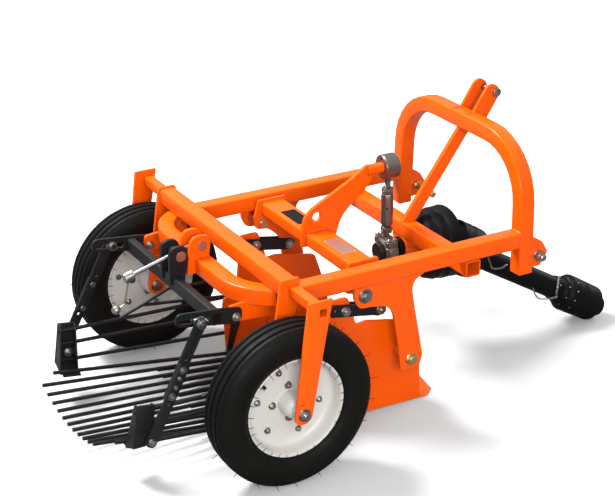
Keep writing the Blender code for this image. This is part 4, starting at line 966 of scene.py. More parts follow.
class HARVESTER_OT_frame_bolts(bpy.types.Operator):
    """Models the axles, pivot bolts and hitch pins of the frame"""

    bl_idname = "harvester.frame_bolts"
    bl_label = "Frame Bolts and Pins"

    def execute(self, context):
        for name, sign in SIDES:
            self.axle(name, sign)
            self.pivots(name, sign)
            self.hitch_pin(name, sign)
        self.top_pin()
        self.small_bolts()
        self.tube_mouths()
        self.bearing_seal()
        return {"FINISHED"}

    def axle(self, name, sign):
        """The wheel's through bolt with its collars, washers and lock nuts."""
        inner, outer = faces(f"axle_{name}", sign)
        inner_face = faces(f"wheel_plate_inner_{name}", sign)[0]
        outer_face = faces(f"wheel_plate_outer_{name}", sign)[1]
        outward = X_AXIS * sign
        length = abs(outer - inner)

        def spot(x):
            return Vector((x, WHEEL_CENTRE[name].y, WHEEL_CENTRE[name].z))

        shank = [(0.0085, 0.0), (0.01, 0.001), (0.01, length - 0.0015), (0.008, length)]
        collar = mm((10, 0), (17.5, 0), (18, 0.5), (18, 4.2), (17.5, 4.7), (10, 4.7))
        head = bolt_end(0.0095, 0.0165, 0.0085, 0.019, 0.0022)
        beyond = max(0.002, abs(outer - outer_face) - 0.0135)
        nut = bolt_end(0.0095, 0.0165, 0.007, 0.019, 0.0022, beyond, collar=True)
        pieces = [
            turned(shank, 32, spot(inner), outward),
            *spread(head, (spot(inner_face), -outward, 0.2)),
            *spread(nut, (spot(outer_face), outward, 0.35)),
            turned(collar, 32, spot(inner_face + sign * 0.01), outward, closed=True),
            turned(collar, 32, spot(outer_face - sign * 0.01), -outward, closed=True),
        ]
        finish(pieces, f"axle_bolt_{name}", "dull_zinc", "frame", [f"axle_{name}"])

    def pivots(self, name, sign):
        """The rocker's and the share's pivot bolts, each with a sleeve, a washer and a lock nut."""
        outward = X_AXIS * sign
        inner, face = (abs(x) for x in faces(f"leg_plate_{name}", sign))
        side, side_out = (abs(x) for x in faces(f"rocker_end_{name}", sign))
        length = face + 0.004 - (side - 0.012)
        reach = inner - side_out - 0.0018
        shank = [(0.0095, 0.0), (0.01, 0.001), (0.01, length)]
        sleeve = [(0.0102, 0.0), (0.0165, 0.0), (0.017, 0.0006), (0.017, reach - 0.0006), (0.0165, reach),
                  (0.0102, reach)]
        for label, pivot, look, washer_radius in (
            ("rocker", ROCKER_PIVOT, "dull_zinc" if sign > 0 else "yellow_zinc", 0.0225),
            ("share", SHARE_PIVOT, "yellow_zinc", 0.0195),
        ):
            def spot(x):
                return Vector((sign * x, pivot.y, pivot.z))

            nut = bolt_end(0.0092, 0.016, 0.008, washer_radius, 0.003, collar=True)
            pieces = [
                turned(shank, 32, spot(side - 0.012), outward),
                turned(sleeve, 36, spot(side_out + 0.0014), outward, closed=True),
                *spread(nut, (spot(face), outward, 0.5)),
                *spread(bolt_end(0.0092, 0.015, 0.0085), (spot(side - 0.0014), -outward, 0.1)),
            ]
            finish(pieces, f"{label}_pivot_{name}", look, "frame", [f"{label}_pivot_bolt_{name}"])

    def hitch_pin(self, name, sign):
        """A lower hitch pin: a turned stud with a collar, and its nut behind the lug."""
        tip, back = faces(f"hitch_pin_{name}", sign)
        inner_face, outer_face = faces(f"lower_hitch_lug_{name}", sign)
        centre = middle(f"hitch_pin_{name}")
        outward = X_AXIS * sign
        run, end = abs(inner_face - tip), abs(back - tip)
        stud = turned(
            [(0.008, 0.0), (0.011, 0.0035), (0.011, 0.01), (0.0104, 0.0106), (0.0104, 0.014),
             (0.011, 0.0146), (0.011, run - 0.011), (0.015, run - 0.0104), (0.016, run - 0.0094),
             (0.016, run - 0.0004), (0.011, run - 0.0003), (0.011, end - 0.002)],
            36, (tip, centre.y, centre.z), outward,
        )
        finish([stud], f"hitch_stud_{name}", "yellow_zinc", "frame", [f"hitch_pin_{name}"])
        tail = abs(back - outer_face) - HITCH_NUT_TOP
        place = (outer_face, centre.y, centre.z)
        pieces = [
            *spread(bolt_end(0.0105, 0.0175, 0.014, 0.017, 0.003), (place, outward, 0.3)),
            *spread(thread(0.0108, 0.016, HITCH_NUT_TOP + tail, 28), (place, outward)),
        ]
        finish(pieces, f"hitch_nut_{name}", "zinc_plating", "frame")

    def top_pin(self):
        """The top link's pin with its head, the linch ring and the ring's spigot."""
        low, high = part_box("top_link_pin")
        centre = middle("top_link_pin")
        length = high.x - low.x
        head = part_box("top_link_plate_right")[1].x - low.x
        rod = turned(
            [(0.0065, 0.0), (0.0095, 0.003), (0.0095, head), (0.014, head + 0.0004), (0.0145, head + 0.001),
             (0.0145, head + 0.006), (0.013, length)],
            32, (low.x, centre.y, centre.z), X_AXIS,
        )
        spigot = Vector((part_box("top_link_plate_left")[0].x - 0.006, centre.y, centre.z))
        radius = 0.0125
        loop = [
            spigot + Vector((-0.003, radius * math.cos(a), radius * math.sin(a)))
            for a in (k * 2 * math.pi / 28 for k in range(28))
        ]
        ring = bar(loop, 0.0013, 8, loop=True)
        pin = bar([spigot + Z_AXIS * -0.0135, spigot + Z_AXIS * 0.0135], 0.0021, 12)
        finish([rod, ring, pin], "top_pin_with_ring", "zinc_plating", "frame", ["top_link_pin"])

    def small_bolts(self):
        """The hexagon bolts of the cross tube and the side rails, and the hanger's pivot bolts."""
        m10 = bolt_end(0.0048, 0.0088, 0.0062, 0.0105, 0.0018)
        m12 = bolt_end(0.0058, 0.0105, 0.0072, 0.013, 0.0022, 0.004)
        low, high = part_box("rear_cross_tube")
        rear_face = REAR_TUBE.y + (high.y - low.y) / 2
        pivot = at(0, -0.394, 0.4375)
        pieces = []
        for name, sign in SIDES:
            outward = X_AXIS * sign
            inside = faces(f"side_rail_{name}", sign)[0]
            outer, bracket = faces("grate_hanger", sign)[1], sign * 0.2737
            shank = [(x, pivot.y, pivot.z) for x in (bracket - sign * 0.002, outer + sign * 0.002)]
            pieces += [
                copy_of(m10, (sign * 0.241, rear_face, REAR_TUBE.z), Y_AXIS, 0.2),
                copy_of(m10, (inside, at(0, -0.2046, 0).y, 0.503), -outward, 0.3),
                copy_of(m12, (outer, pivot.y, pivot.z), outward, 0.4),
                copy_of(m12, (bracket, pivot.y, pivot.z), -outward, 0.1),
                bar(shank, 0.0058, 16),
            ]
        discard(m10, m12)
        finish(pieces, "frame_small_bolts", "zinc_plating", "frame")

    def tube_mouths(self):
        """The open ends of the hanger's cross tube in its plates, as sunken black blocks: painted shade for the
        dark inside.
        """
        place = at(0, -0.4525, 0.447)
        for name, sign in SIDES:
            mouth = block((0.0024, 0.024, 0.026), (faces("grate_hanger", sign)[1], place.y, place.z))
            edit(mouth, "FACE")
            choose(mouth, "faces", lambda poly: poly.normal.x * sign > 0.5)
            bpy.ops.mesh.inset(thickness=0.0022, depth=0)
            bpy.ops.transform.translate(value=(-sign * 0.001, 0, 0))
            leave()
            softened(mouth, 0.0004)
            # The black rubber finish here is painted shade for the tube's dark inside.
            finish([mouth], f"tube_mouth_{name}", "tyre_rubber", "frame")

    def bearing_seal(self):
        """The steel hub and the black seal behind the input bearing."""
        rear = at(0, 0.3345, 0.378)
        hub = turned(
            mm((12.5, -25), (18.5, -25), (19.5, -24), (19.5, -15), (12.5, -15)),
            40, rear, Y_AXIS, closed=True,
        )
        finish([hub], "bearing_hub", "bare_steel", "frame")
        seal = turned(
            mm((20, -19), (29, -19), (32.5, -17.5), (33.5, -15), (33.5, -1), (32.5, 0), (20, 0)),
            48, rear, Y_AXIS, closed=True,
        )
        finish([seal], "bearing_seal", "guard_plastic", "frame")


STRAP_FOOT = at(0, -0.673, 0.137)
ROD_RADIUS = 0.006
ROD_SIDES = 14
ROD_PITCH = 0.0384


class HARVESTER_OT_grate(bpy.types.Operator):
    """Models the grate's rods, its fences with their end boxes, and the two-piece straps"""

    bl_idname = "harvester.grate"
    bl_label = "Grate and Straps"

    def execute(self, context):
        self.rods()
        for name, sign in SIDES:
            self.fence(name, sign)
            self.strap(name, sign)
        return {"FINISHED"}

    def rods(self):
        """The rods as a shallow trough, the bars lapped under them, and the hinge bar in front."""
        pieces = []
        below = Vector((-0.0085, 0, -0.0085))
        for k in range(11):
            x = (k - 5) * ROD_PITCH
            tip = at(x, -0.794, 0.064 + 0.95 * x * x)
            front = at(x * 1.02, -0.138, 0.022)
            lap = [front.lerp(tip, share) + below for share in (0.06, 0.425)]
            pieces += [bar([front, tip], ROD_RADIUS, ROD_SIDES), bar(lap, ROD_RADIUS, ROD_SIDES)]
        pieces.append(bar([at(-0.198, -0.1813, 0.0146), at(0.198, -0.1813, 0.0146)], ROD_RADIUS, ROD_SIDES))
        pieces.append(softened(shaped(at(-0.265, -0.148, 0.013), at(0.265, -0.128, 0.025)), 0.001))
        for _, sign in SIDES:
            outer = sign * ROD_PITCH * 6
            ear = shaped(
                at(sign * 0.258, -0.146, 0.016), at(sign * 0.266, -0.128, 0.112),
                [((0, -1, 1), (0, 0.018, 0)), ((0, 1, 1), (0, 0.032, 0))],
            )
            hinge = [Vector((sign * reach, GRATE_HINGE.y, GRATE_HINGE.z)) for reach in (0.256, 0.287)]
            pieces += [
                bar([at(outer, -0.138, 0.022), at(outer, -0.744, 0.1095)], ROD_RADIUS, ROD_SIDES),
                softened(ear, 0.003, 3),
                bar(hinge, 0.008, 24),
            ]
        finish(pieces, "grate_rods_round", "black_paint", "grate", ["grate_rods"])

    def fence(self, name, sign):
        """A fence: the box behind, flanged at both edges and with a sloped floor, and the rods before it."""
        web = shaped(
            at(sign * 0.284, -0.7, 0.11), at(sign * 0.292, -0.646, 0.24),
            [((0, -1, -1), (0, -0.0181, 0)), ((0, 1, -1), (0, -0.0127, 0)), ((0, 1, 1), (0, 0, -0.008))],
        )
        rear, front = (
            shaped(
                at(sign * 0.238, y, 0.09), at(sign * 0.288, y_end, top),
                [((-sign, 0, 1), (sign * 0.034, lean, 0)), ((sign, 0, 1), (0, lean, 0)),
                 ((sign, 0, -1), (0, 0, 0.021)), ((-sign, 0, -1), (0, foot, 0))],
            )
            for y, y_end, top, lean, foot in (
                (-0.7176, -0.7126, 0.238, 0.0178, -0.0028), (-0.6642, -0.6592, 0.23, 0.0118, -0.002)
            )
        )
        floor = shaped(
            at(sign * 0.2219, -0.7171, 0.0861), at(sign * 0.288, -0.6597, 0.0911),
            [((sign, 0, 0), (0, 0, 0.027)), ((0, -1, 0), (0, 0, 0.0041)), ((0, 1, 0), (0, 0, -0.0041))],
        )
        plate = shaped(
            at(sign * 0.278, -0.142, 0.044), at(sign * 0.286, -0.09, 0.208),
            [((0, -1, -1), (0, 0, 0.008)), ((0, 1, -1), (0, 0, -0.008)), ((0, -1, 1), (0, 0.006, 0.004))],
        )
        pieces = [softened(piece, 0.0012) for piece in (web, rear, front, floor, plate)]
        rails = ((0.2165, -0.125, 0.196), (0.173, -0.11, 0.14), (0.119, -0.11, 0.068))
        for rear_z, front_y, front_z in rails:
            line = [at(sign * 0.2792, -0.706, rear_z), at(sign * 0.2839, front_y, front_z)]
            pieces.append(bar(line, ROD_RADIUS, ROD_SIDES))
        for line in (
            [(-0.5, 0.2105), (-0.423, 0.238), (-0.335, 0.272), (-0.15, 0.262), (-0.12, 0.2)],
            [(-0.426, 0.237), (-0.133, 0.199)],
        ):
            pieces.append(bar([at(sign * 0.2839, y, z) for y, z in line], ROD_RADIUS * 0.85, ROD_SIDES))
        boss = [Vector((sign * reach, STRAP_FOOT.y, STRAP_FOOT.z)) for reach in (0.288, 0.3145)]
        pieces.append(bar(boss, 0.012, 28))
        finish(pieces, f"grate_fence_{name}", "black_paint", "grate", [f"grate_side_{name}"])

    def strap(self, name, sign):
        """A strap of two flat bars that lap, with the adjusting holes between their clamp bolts."""
        head = Vector((0, STRAP_HEAD.y, STRAP_HEAD.z))
        run = STRAP_FOOT - head
        along = run.normalized()
        pieces = []
        for inner, square, tip, half in (
            (0.3075, head + run * 0.645, head - along * 0.016, 0.0165),
            (0.3152, head + run * 0.34, STRAP_FOOT + along * 0.017, 0.016),
        ):
            length = (tip - square).length
            flat = softened(round_end(slab(0.008, half * 2, length), length, 0.012, 8), 0.0008)
            leaned(flat, sign * (inner + 0.004), (tip - square).normalized(), square)
            clean(flat)
            pieces.append(flat)
        for share in (0.3, 0.676):
            place = head + run * share
            for flat in pieces:
                drill(flat, 0.0052, (sign * 0.295, place.y, place.z), (sign * 0.335, place.y, place.z))
        pieces.append(bar([Vector((sign * reach, head.y, head.z)) for reach in (0.272, 0.316)], 0.0065, 20))
        finish(pieces, f"grate_strap_flat_{name}", "black_paint", f"strap_{name}", [f"grate_strap_{name}"])


class HARVESTER_OT_wheel_plates(bpy.types.Operator):
    """Models the outer wheel plates, tapered from the cross tube down to a round foot at the axle"""

    bl_idname = "harvester.wheel_plates"
    bl_label = "Outer Wheel Plates"

    def execute(self, context):
        low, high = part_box("wheel_plate_outer_right")
        foot, top = at(0, -0.332, 0.211), at(0, -0.279, high.z)
        half, taper = 0.0255, 0.0105  # half the width at the foot, and what it loses up to the tube
        axle, mouth = at(0, -0.328, 0.24), at(0, -0.272, 0.532)
        for name, sign in SIDES:
            plate = shaped(
                (sign * low.x, foot.y - half, foot.z), (sign * high.x, foot.y + half, top.z),
                [((0, -1, 1), (0, top.y - foot.y - taper, 0)), ((0, 1, 1), (0, top.y - foot.y + taper, 0))],
            )
            softened(round_end(plate, foot.z, 0.0235), 0.001)
            before, behind = sign * (low.x - 0.01), sign * (high.x + 0.01)
            for radius, y, z in ((0.0103, axle.y, axle.z), (0.0032, axle.y - 0.006, axle.z + 0.031)):
                drill(plate, radius, (before, y, z), (behind, y, z))
            carved(plate, shaped((before, mouth.y - 0.011, mouth.z - 0.011),
                                 (behind, mouth.y + 0.011, mouth.z + 0.011)))
            finish([plate], f"wheel_plate_tapered_{name}", "orange_paint", "frame",
                   [f"wheel_plate_outer_{name}"])
        return {"FINISHED"}


class HARVESTER_OT_shaker_bolts(bpy.types.Operator):
    """Adds the bright nuts of the links, the grate's hinges and the straps"""

    bl_idname = "harvester.shaker_bolts"
    bl_label = "Shaker Bolts"

    def execute(self, context):
        for name, sign in SIDES:
            self.link_nuts(name, sign)
            self.grate_nuts(name, sign)
            self.strap_bolts(name, sign)
        return {"FINISHED"}

    def link_nuts(self, name, sign):
        """Nuts and bolt heads at both ends of a share link."""
        inner, outer = faces(f"share_link_{name}", sign)
        outward = X_AXIS * sign
        spots = []
        for pivot in (LINK_FRONT, at(0, -0.038, 0.365)):
            spots += [
                ((outer - sign * 0.008, pivot.y, pivot.z), outward, 0.3),
                ((inner + sign * 0.008, pivot.y, pivot.z), -outward, 0.7),
            ]
        pieces = spread(bolt_end(0.0078, 0.0138, 0.0072, 0.015, 0.0018, 0.0035), *spots)
        finish(pieces, f"link_nuts_{name}", "zinc_plating", f"link_{name}")

    def grate_nuts(self, name, sign):
        """The nut of the grate's hinge bolt and the inner nut of the strap's foot bolt."""
        outward = X_AXIS * sign
        hinge = (faces(f"share_side_{name}", sign)[1] + sign * 0.009, GRATE_HINGE.y, GRATE_HINGE.z)
        foot = at(sign * 0.284, -0.673, 0.137)
        pieces = [
            *spread(bolt_end(0.0078, 0.0132, 0.007, 0.015, 0.0018, 0.003), (hinge, outward, 0.5)),
            *spread(bolt_end(0.0062, 0.0125, 0.007, 0.015, 0.0016, 0.003), (foot, -outward, 0.2)),
        ]
        finish(pieces, f"grate_nuts_{name}", "zinc_plating", "grate")

    def strap_bolts(self, name, sign):
        """The slot bolt with its square block, the clamp bolts and the foot bolt of a strap."""
        outer, inner = sign * 0.3232, sign * 0.3075
        outward = X_AXIS * sign
        head, foot = STRAP_HEAD, STRAP_FOOT
        run = Vector((0, foot.y - head.y, foot.z - head.z))

        def spot(x, share=0.0):
            place = head + run * share
            return (x, place.y, place.z)

        nut = bolt_end(0.0062, 0.0138, 0.008, 0.0148, 0.0018, 0.001)
        pieces = spread(nut, (spot(sign * 0.3155), outward, 0.4), (spot(sign * 0.284), -outward, 0.1))
        square = block((0.028, 0.028, 0.0148))
        edit(square, "FACE")
        choose(square, "faces", lambda face: abs(face.normal.z) > 0.5)
        bpy.ops.mesh.inset(thickness=0.0035, depth=0.0)
        leave()
        softened(square, 0.0012)
        pieces.append(settle(square, spot(sign * 0.2998), outward, 0.1))
        m10 = bolt_end(0.005, 0.0095, 0.0062, 0.0112, 0.0016, 0.003)
        back = bolt_end(0.005, 0.0095, 0.0058)
        for share in (0.384, 0.608):
            pieces.append(copy_of(m10, spot(outer, share), outward, share))
            pieces.append(copy_of(back, spot(inner, share), -outward, share))
        discard(m10, back)
        foot_nut = bolt_end(0.0056, 0.0112, 0.0068, 0.0122, 0.0014, 0.002)
        pieces += spread(foot_nut, ((outer, foot.y, foot.z), outward, 0.2))
        small = bolt_end(0.0034, 0.0062, 0.0046, 0.0074, 0.0014, 0.002)
        pieces += spread(small, *((spot(outer, share), outward, share * 5) for share in (0.453, 0.53)))
        finish(pieces, f"strap_bolts_{name}", "dull_zinc", f"strap_{name}")


class HARVESTER_OT_connecting_rod(bpy.types.Operator):
    """Models the ring, turnbuckle and clamp of the connecting rod"""

    bl_idname = "harvester.connecting_rod"
    bl_label = "Connecting Rod"

    def execute(self, context):
        top = ROD_PLACE
        ring = turned(
            mm(
                (17.6, -24), (34.5, -24), (35.2, -22.8), (37.2, -22.6), (39, -20.8), (39, 20.8),
                (37.2, 22.6), (35.2, 22.8), (34.5, 24), (17.6, 24),
            ),
            72, top, Y_AXIS, closed=True,
        )
        drill(ring, 0.0036, top + Vector((-0.003, -0.03, 0.0262)), top + Vector((-0.003, -0.014, 0.0262)))
        pieces = [ring]
        x, y = top.x, top.y
        pieces += spread(thread(0.0098, 0.0, 0.06, 28), ((x, y, 0.415),), ((x, y, 0.562),))
        for height, turn in ((0.44, 0.1), (0.45, 0.4), (0.57, 0.2), (0.579, 0.6)):
            pieces.append(settle(hexagon(0.0185, 0.0085), (x, y, height), Z_AXIS, turn))
        sleeve = turned(
            mm(
                (14, 464), (18, 465), (19.2, 470), (19.8, 476), (19.8, 556), (19.2, 562), (18, 568),
                (14, 569),
            ),
            8, (x, y, 0.0), Z_AXIS,
        )
        softened(sleeve, 0.0016, 3)
        drill(sleeve, 0.0036, (x - 0.026, y + 0.016, 0.523), (x + 0.026, y - 0.016, 0.523))
        pieces.append(sleeve)
        strap = turned(
            mm(
                (27, 20), (43, 20), (45.8, 18), (46, 16), (46, -9), (45, -11), (43, -13), (36, -18),
                (33.5, -20), (27, -20.4),
            ),
            64, (x, y, SHAFT_PLACE.z), Y_AXIS, closed=True,
        )
        pieces += [strap, self.clamp_block(x, y)]
        finish(pieces, "connecting_rod_detailed", "bare_steel", "con_rod", ["connecting_rod"])
        cap = turned(
            mm((29.5, -18), (29.5, -32), (28, -34.5), (24, -35), (22.5, -33.5), (8, -33.5)),
            48, (x, y, SHAFT_PLACE.z), Y_AXIS,
        )
        finish([cap], "eccentric_cap", "black_paint", "con_rod")
        spots = (
            ((x + sign * 0.0325, y + depth, SHAFT_PLACE.z + height), way, 0.3)
            for _, sign in SIDES
            for depth in (-0.01, 0.01)
            for height, way in ((0.0385, Z_AXIS), (0.02, -Z_AXIS))
        )
        bolts = spread(bolt_end(0.0045, 0.0086, 0.0065, 0.0096, 0.0016, 0.003), *spots)
        finish(bolts, "clamp_bolts", "zinc_plating", "con_rod")
        return {"FINISHED"}

    def clamp_block(self, x, y):
        """The split block on top of the strap, from a cube that is stepped up to the stud."""
        clamp = block((0.084, 0.034, 0.018))
        edit(clamp, "FACE")
        choose(clamp, "faces", lambda face: face.normal.z > 0.5)
        bpy.ops.mesh.inset(thickness=0.001, depth=0.0)
        bpy.ops.transform.resize(value=(0.42, 0.95, 1), center_override=(0, 0, 0))
        bpy.ops.mesh.extrude_region_move(TRANSFORM_OT_translate={"value": (0, 0, 0.012)})
        bpy.ops.transform.resize(value=(0.86, 0.86, 1), center_override=(0, 0, 0))
        leave()
        settle(softened(clamp, 0.0016), (x, y, SHAFT_PLACE.z + 0.029))
        return drill(clamp, 0.03, (x, y - 0.03, SHAFT_PLACE.z), (x, y + 0.03, SHAFT_PLACE.z), 64)


class HARVESTER_OT_screw(bpy.types.Operator):
    """Models the adjusting screw, its cross pins, hub and crank"""

    bl_idname = "harvester.screw"
    bl_label = "Adjusting Screw"

    def execute(self, context):
        front = at(0, -0.367, 0.545)
        rear = at(0, -0.435, 0.526)
        along = (rear - front).normalized()
        end = front + along * 0.222
        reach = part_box("adjusting_screw")[1].x
        pieces = [
            turned([(0.006, 0.0), (0.006, 0.15)], 24, rear, along),
            *spread(thread(0.0066, 0.0, 0.122, 24), (front - along * 0.036, along)),
            *spread(bolt_end(0.0066, 0.0112, 0.01), (front - along * 0.021, -along, 0.3)),
        ]
        hub = turned(
            mm((14, -11), (15.5, -9.8), (15.5, 16.5), (14.5, 17.8), (11.5, 18), (10.5, 16.8)),
            40, end, along,
        )
        ball = at(0, -0.627, 0.39)
        crank = smooth_path(
            [at(0, -0.583, 0.482), at(0, -0.586, 0.468), at(0, -0.597, 0.416), at(0, -0.601, 0.403),
             at(0, -0.612, 0.396), ball],
            6,
        )
        rounds = (math.radians(degrees) for degrees in range(4, 180, 8))
        knob = turned([(0.0135 * math.sin(a), 0.0135 * math.cos(a)) for a in rounds], 40, ball, (0, 0.2, 1))
        pieces += [hub, bar(crank, 0.0027, 14), knob]
        finish(pieces, "adjusting_screw_detailed", "zinc_plating", "frame", ["adjusting_screw"])
        stations = [(0.015, -reach), (0.0158, -reach + 0.0009), (0.013, -reach + 0.001),
                    (0.013, reach - 0.001), (0.0158, reach - 0.0009), (0.015, reach)]
        pins = [turned(stations, 40, place, X_AXIS) for place in (front, rear)]
        finish(pins, "screw_cross_pins", "pin_steel", "frame")
        return {"FINISHED"}


class HARVESTER_OT_driveline(bpy.types.Operator):
    """Models the guards of the driveline, the tractor's yoke and the safety chains"""

    bl_idname = "harvester.driveline"
    bl_label = "Driveline"

    def execute(self, context):
        start, along = JOINT_PLACE, ALONG_SHAFT
        self.cup()
        rear = turned(
            mm(
                (84, 60), (84.6, 61.2), (84.6, 69), (83.8, 70.5), (83.8, 90), (84.6, 91.5), (84.6, 94.5),
                (83.6, 96), (83.4, 118), (84.2, 119.5), (84.2, 122.5), (83, 124), (82.6, 142), (81.2, 150),
                (78, 157), (73, 163.5), (64, 169), (52, 174), (45, 175.8), (39.2, 176), (39.2, 172),
                (48, 170), (64, 164), (72, 158), (79, 146), (80, 83), (27, 82), (26.6, 190), (26.6, 406),
                (23.6, 406), (23.6, 77), (80, 76.5), (80.6, 60),
            ),
            96, start, along, closed=True,
        )
        finish([rear], "rear_guard_cone", "guard_plastic", "frame", ["guard_rear"])
        shell = mm(
            (37, -40), (37.4, -38), (40.5, -37), (40.5, -29), (39.7, -28), (39.7, -15), (47.5, -10),
            (49.5, -6), (50, 4), (52, 6), (58, 9), (61, 13), (62.2, 19), (62.2, 35), (61.4, 36), (61.4, 38),
            (62, 39), (60.8, 78), (60.2, 79), (60.2, 81), (60.6, 82), (59.4, 134), (58.2, 138.5),
            (57, 140.8), (54, 141), (54, 23), (37, 15), (34.2, 13),
        )
        stations = [(0.037, 0.172), (0.037, 0.18), *raised(shell, BELL), (0.0342, 0.172)]
        front = turned(stations, 80, start, along, closed=True)
        finish([front], "front_guard_bell", "guard_plastic", "driveline", ["guard_front"])
        self.yoke()
        self.rivets()
        self.chains()
        return {"FINISHED"}

    def cup(self):
        """The ribbed cup round the input shaft."""
        centre = middle("input_cup")
        cup = turned(
            mm(
                (27.5, 0), (80, 0), (86, 1.2), (93.5, 5), (98.5, 9.2), (102.5, 15), (104, 16.6),
                (104, 18.6), (104.8, 20), (108, 30), (109.4, 35.2), (110.8, 36.4), (110.8, 39.2),
                (110.2, 40.4), (112.2, 62), (113.6, 68), (114.8, 69.2), (114.8, 72.2), (114.2, 73.4),
                (115, 98), (115.8, 109), (116, 112), (112.2, 112), (111, 98), (106.2, 40), (96, 13),
                (82, 4), (27.5, 4),
            ),
            112, (centre.x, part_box("input_cup")[0].y, centre.z), Y_AXIS, closed=True,
        )
        finish([cup], "input_cup_ribbed", "guard_plastic", "frame", ["input_cup"])

    def yoke(self):
        """The tractor's yoke: a collar, a grooved grip and a splined socket."""
        end = BELL + 0.175
        grip = mm(
            (26.7, -20), (26.7, 18), (22, 20), (22, 118), (31, 120), (33, 122), (33, 142), (31.8, 143),
            (31.8, 146), (33, 147), (33, 154), (31.8, 155), (31.8, 158), (33, 159), (33, 172),
            (31.5, 174.2), (29, 175), (17.8, 175), (17.2, 174), (17.2, 121), (2, 120.5),
        )
        spots = []
        for index in range(6):
            spoke = self.spoke(index * math.pi / 3)
            spots.append((JOINT_PLACE + ALONG_SHAFT * (end - 0.053) + spoke * 0.0166, ALONG_SHAFT))
        spline = turned(mm((1.6, 0), (2.2, 1), (2.2, 50), (1.6, 51.5)), 8)
        body = turned(raised(grip, BELL), 64, JOINT_PLACE, ALONG_SHAFT)
        finish([body, *spread(spline, *spots)], "tractor_yoke_splined", "guard_plastic", "tractor_yoke",
               ["tractor_yoke"])

    def spoke(self, angle):
        """The direction straight out from the shaft at an angle round it."""
        side = ALONG_SHAFT.cross(X_AXIS).normalized()
        return side * math.cos(angle) + ALONG_SHAFT.cross(side) * math.sin(angle)

    def rivets(self):
        """The bright rivets round the bell's collar, its shell and the clip on its tube."""
        spots = []
        for radius, distance, count, start in (
            (0.0498, BELL, 8, 0.2), (0.0622, BELL + 0.027, 12, 0.1), (0.0405, BELL - 0.033, 6, 0.0),
        ):
            for index in range(count):
                spoke = self.spoke(start + index * 2 * math.pi / count)
                spots.append((JOINT_PLACE + ALONG_SHAFT * distance + spoke * radius, spoke))
        rivet = turned(mm((3, -1), (3, 0.4), (2.2, 1.2), (0.8, 1.6)), 12)
        finish(spread(rivet, *spots), "guard_rivets", "zinc_plating", "driveline")

    def chains(self):
        """The short chains that keep the guard tubes from turning."""
        gauge = bpy.context.scene.harvester_sizes.chain_wire
        side = X_AXIS - ALONG_SHAFT * ALONG_SHAFT.x
        side.normalize()
        below = side.cross(ALONG_SHAFT).normalized()
        if below.z > 0:
            below = -below

        def spot(distance, angle, radius):
            spoke = side * math.cos(angle) + below * math.sin(angle)
            return JOINT_PLACE + ALONG_SHAFT * distance + spoke * radius

        for name, body, steps, spots in (
            ("chain_front", "driveline", 14,
             ((BELL - 0.03, 0.5, 0.0435), (BELL - 0.05, 0.9, 0.0475), (BELL - 0.078, 1.1, 0.0545),
              (BELL - 0.108, 0.9, 0.0535), (BELL - 0.13, 0.6, 0.0435))),
            ("chain_collar", "driveline", 10,
             ((BELL - 0.034, -1.3, 0.0435), (BELL - 0.046, -1.0, 0.045), (BELL - 0.05, -0.5, 0.0455),
              (BELL - 0.044, 0.1, 0.0455), (BELL - 0.033, 0.45, 0.0445))),
            ("chain_rear", "frame", 14,
             ((0.166, -0.2, 0.0695), (0.19, 0.0, 0.0555), (0.215, 0.3, 0.0475), (0.245, 0.1, 0.0435),
              (0.262, -0.3, 0.0415))),
        ):
            path = smooth_path([spot(*values) for values in spots], steps)
            finish(self.links_along(path, gauge), name, "zinc_plating", body)

    def links_along(self, path, gauge):
        """Oval chain links along a path, each turned a quarter round from the one before."""
        long, wide, count = 0.0075, 0.0042, 14
        outline = []
        for index in range(count):
            angle = index * 2 * math.pi / count
            stretch = (long - wide) / 2 * (1 if math.cos(angle) > 0 else -1)
            outline.append((wide * 0.62 * math.sin(angle), 0.0, wide * 0.62 * math.cos(angle) + stretch))
        spots = []
        travelled, needed = 0.0, 0.0
        for here, there in zip(path, path[1:]):
            step = (there - here).length
            while travelled + step >= needed:
                place = here.lerp(there, (needed - travelled) / step if step else 0)
                spots.append((place, there - here, len(spots) % 2 * math.pi / 2 + 0.3))
                needed += long * 0.86
            travelled += step
        return spread(bar(outline, gauge, 6, loop=True), *spots)


WELD_STEP = 0.0022  # from one ripple of a bead to the next
WELD_WANDER = 0.00025


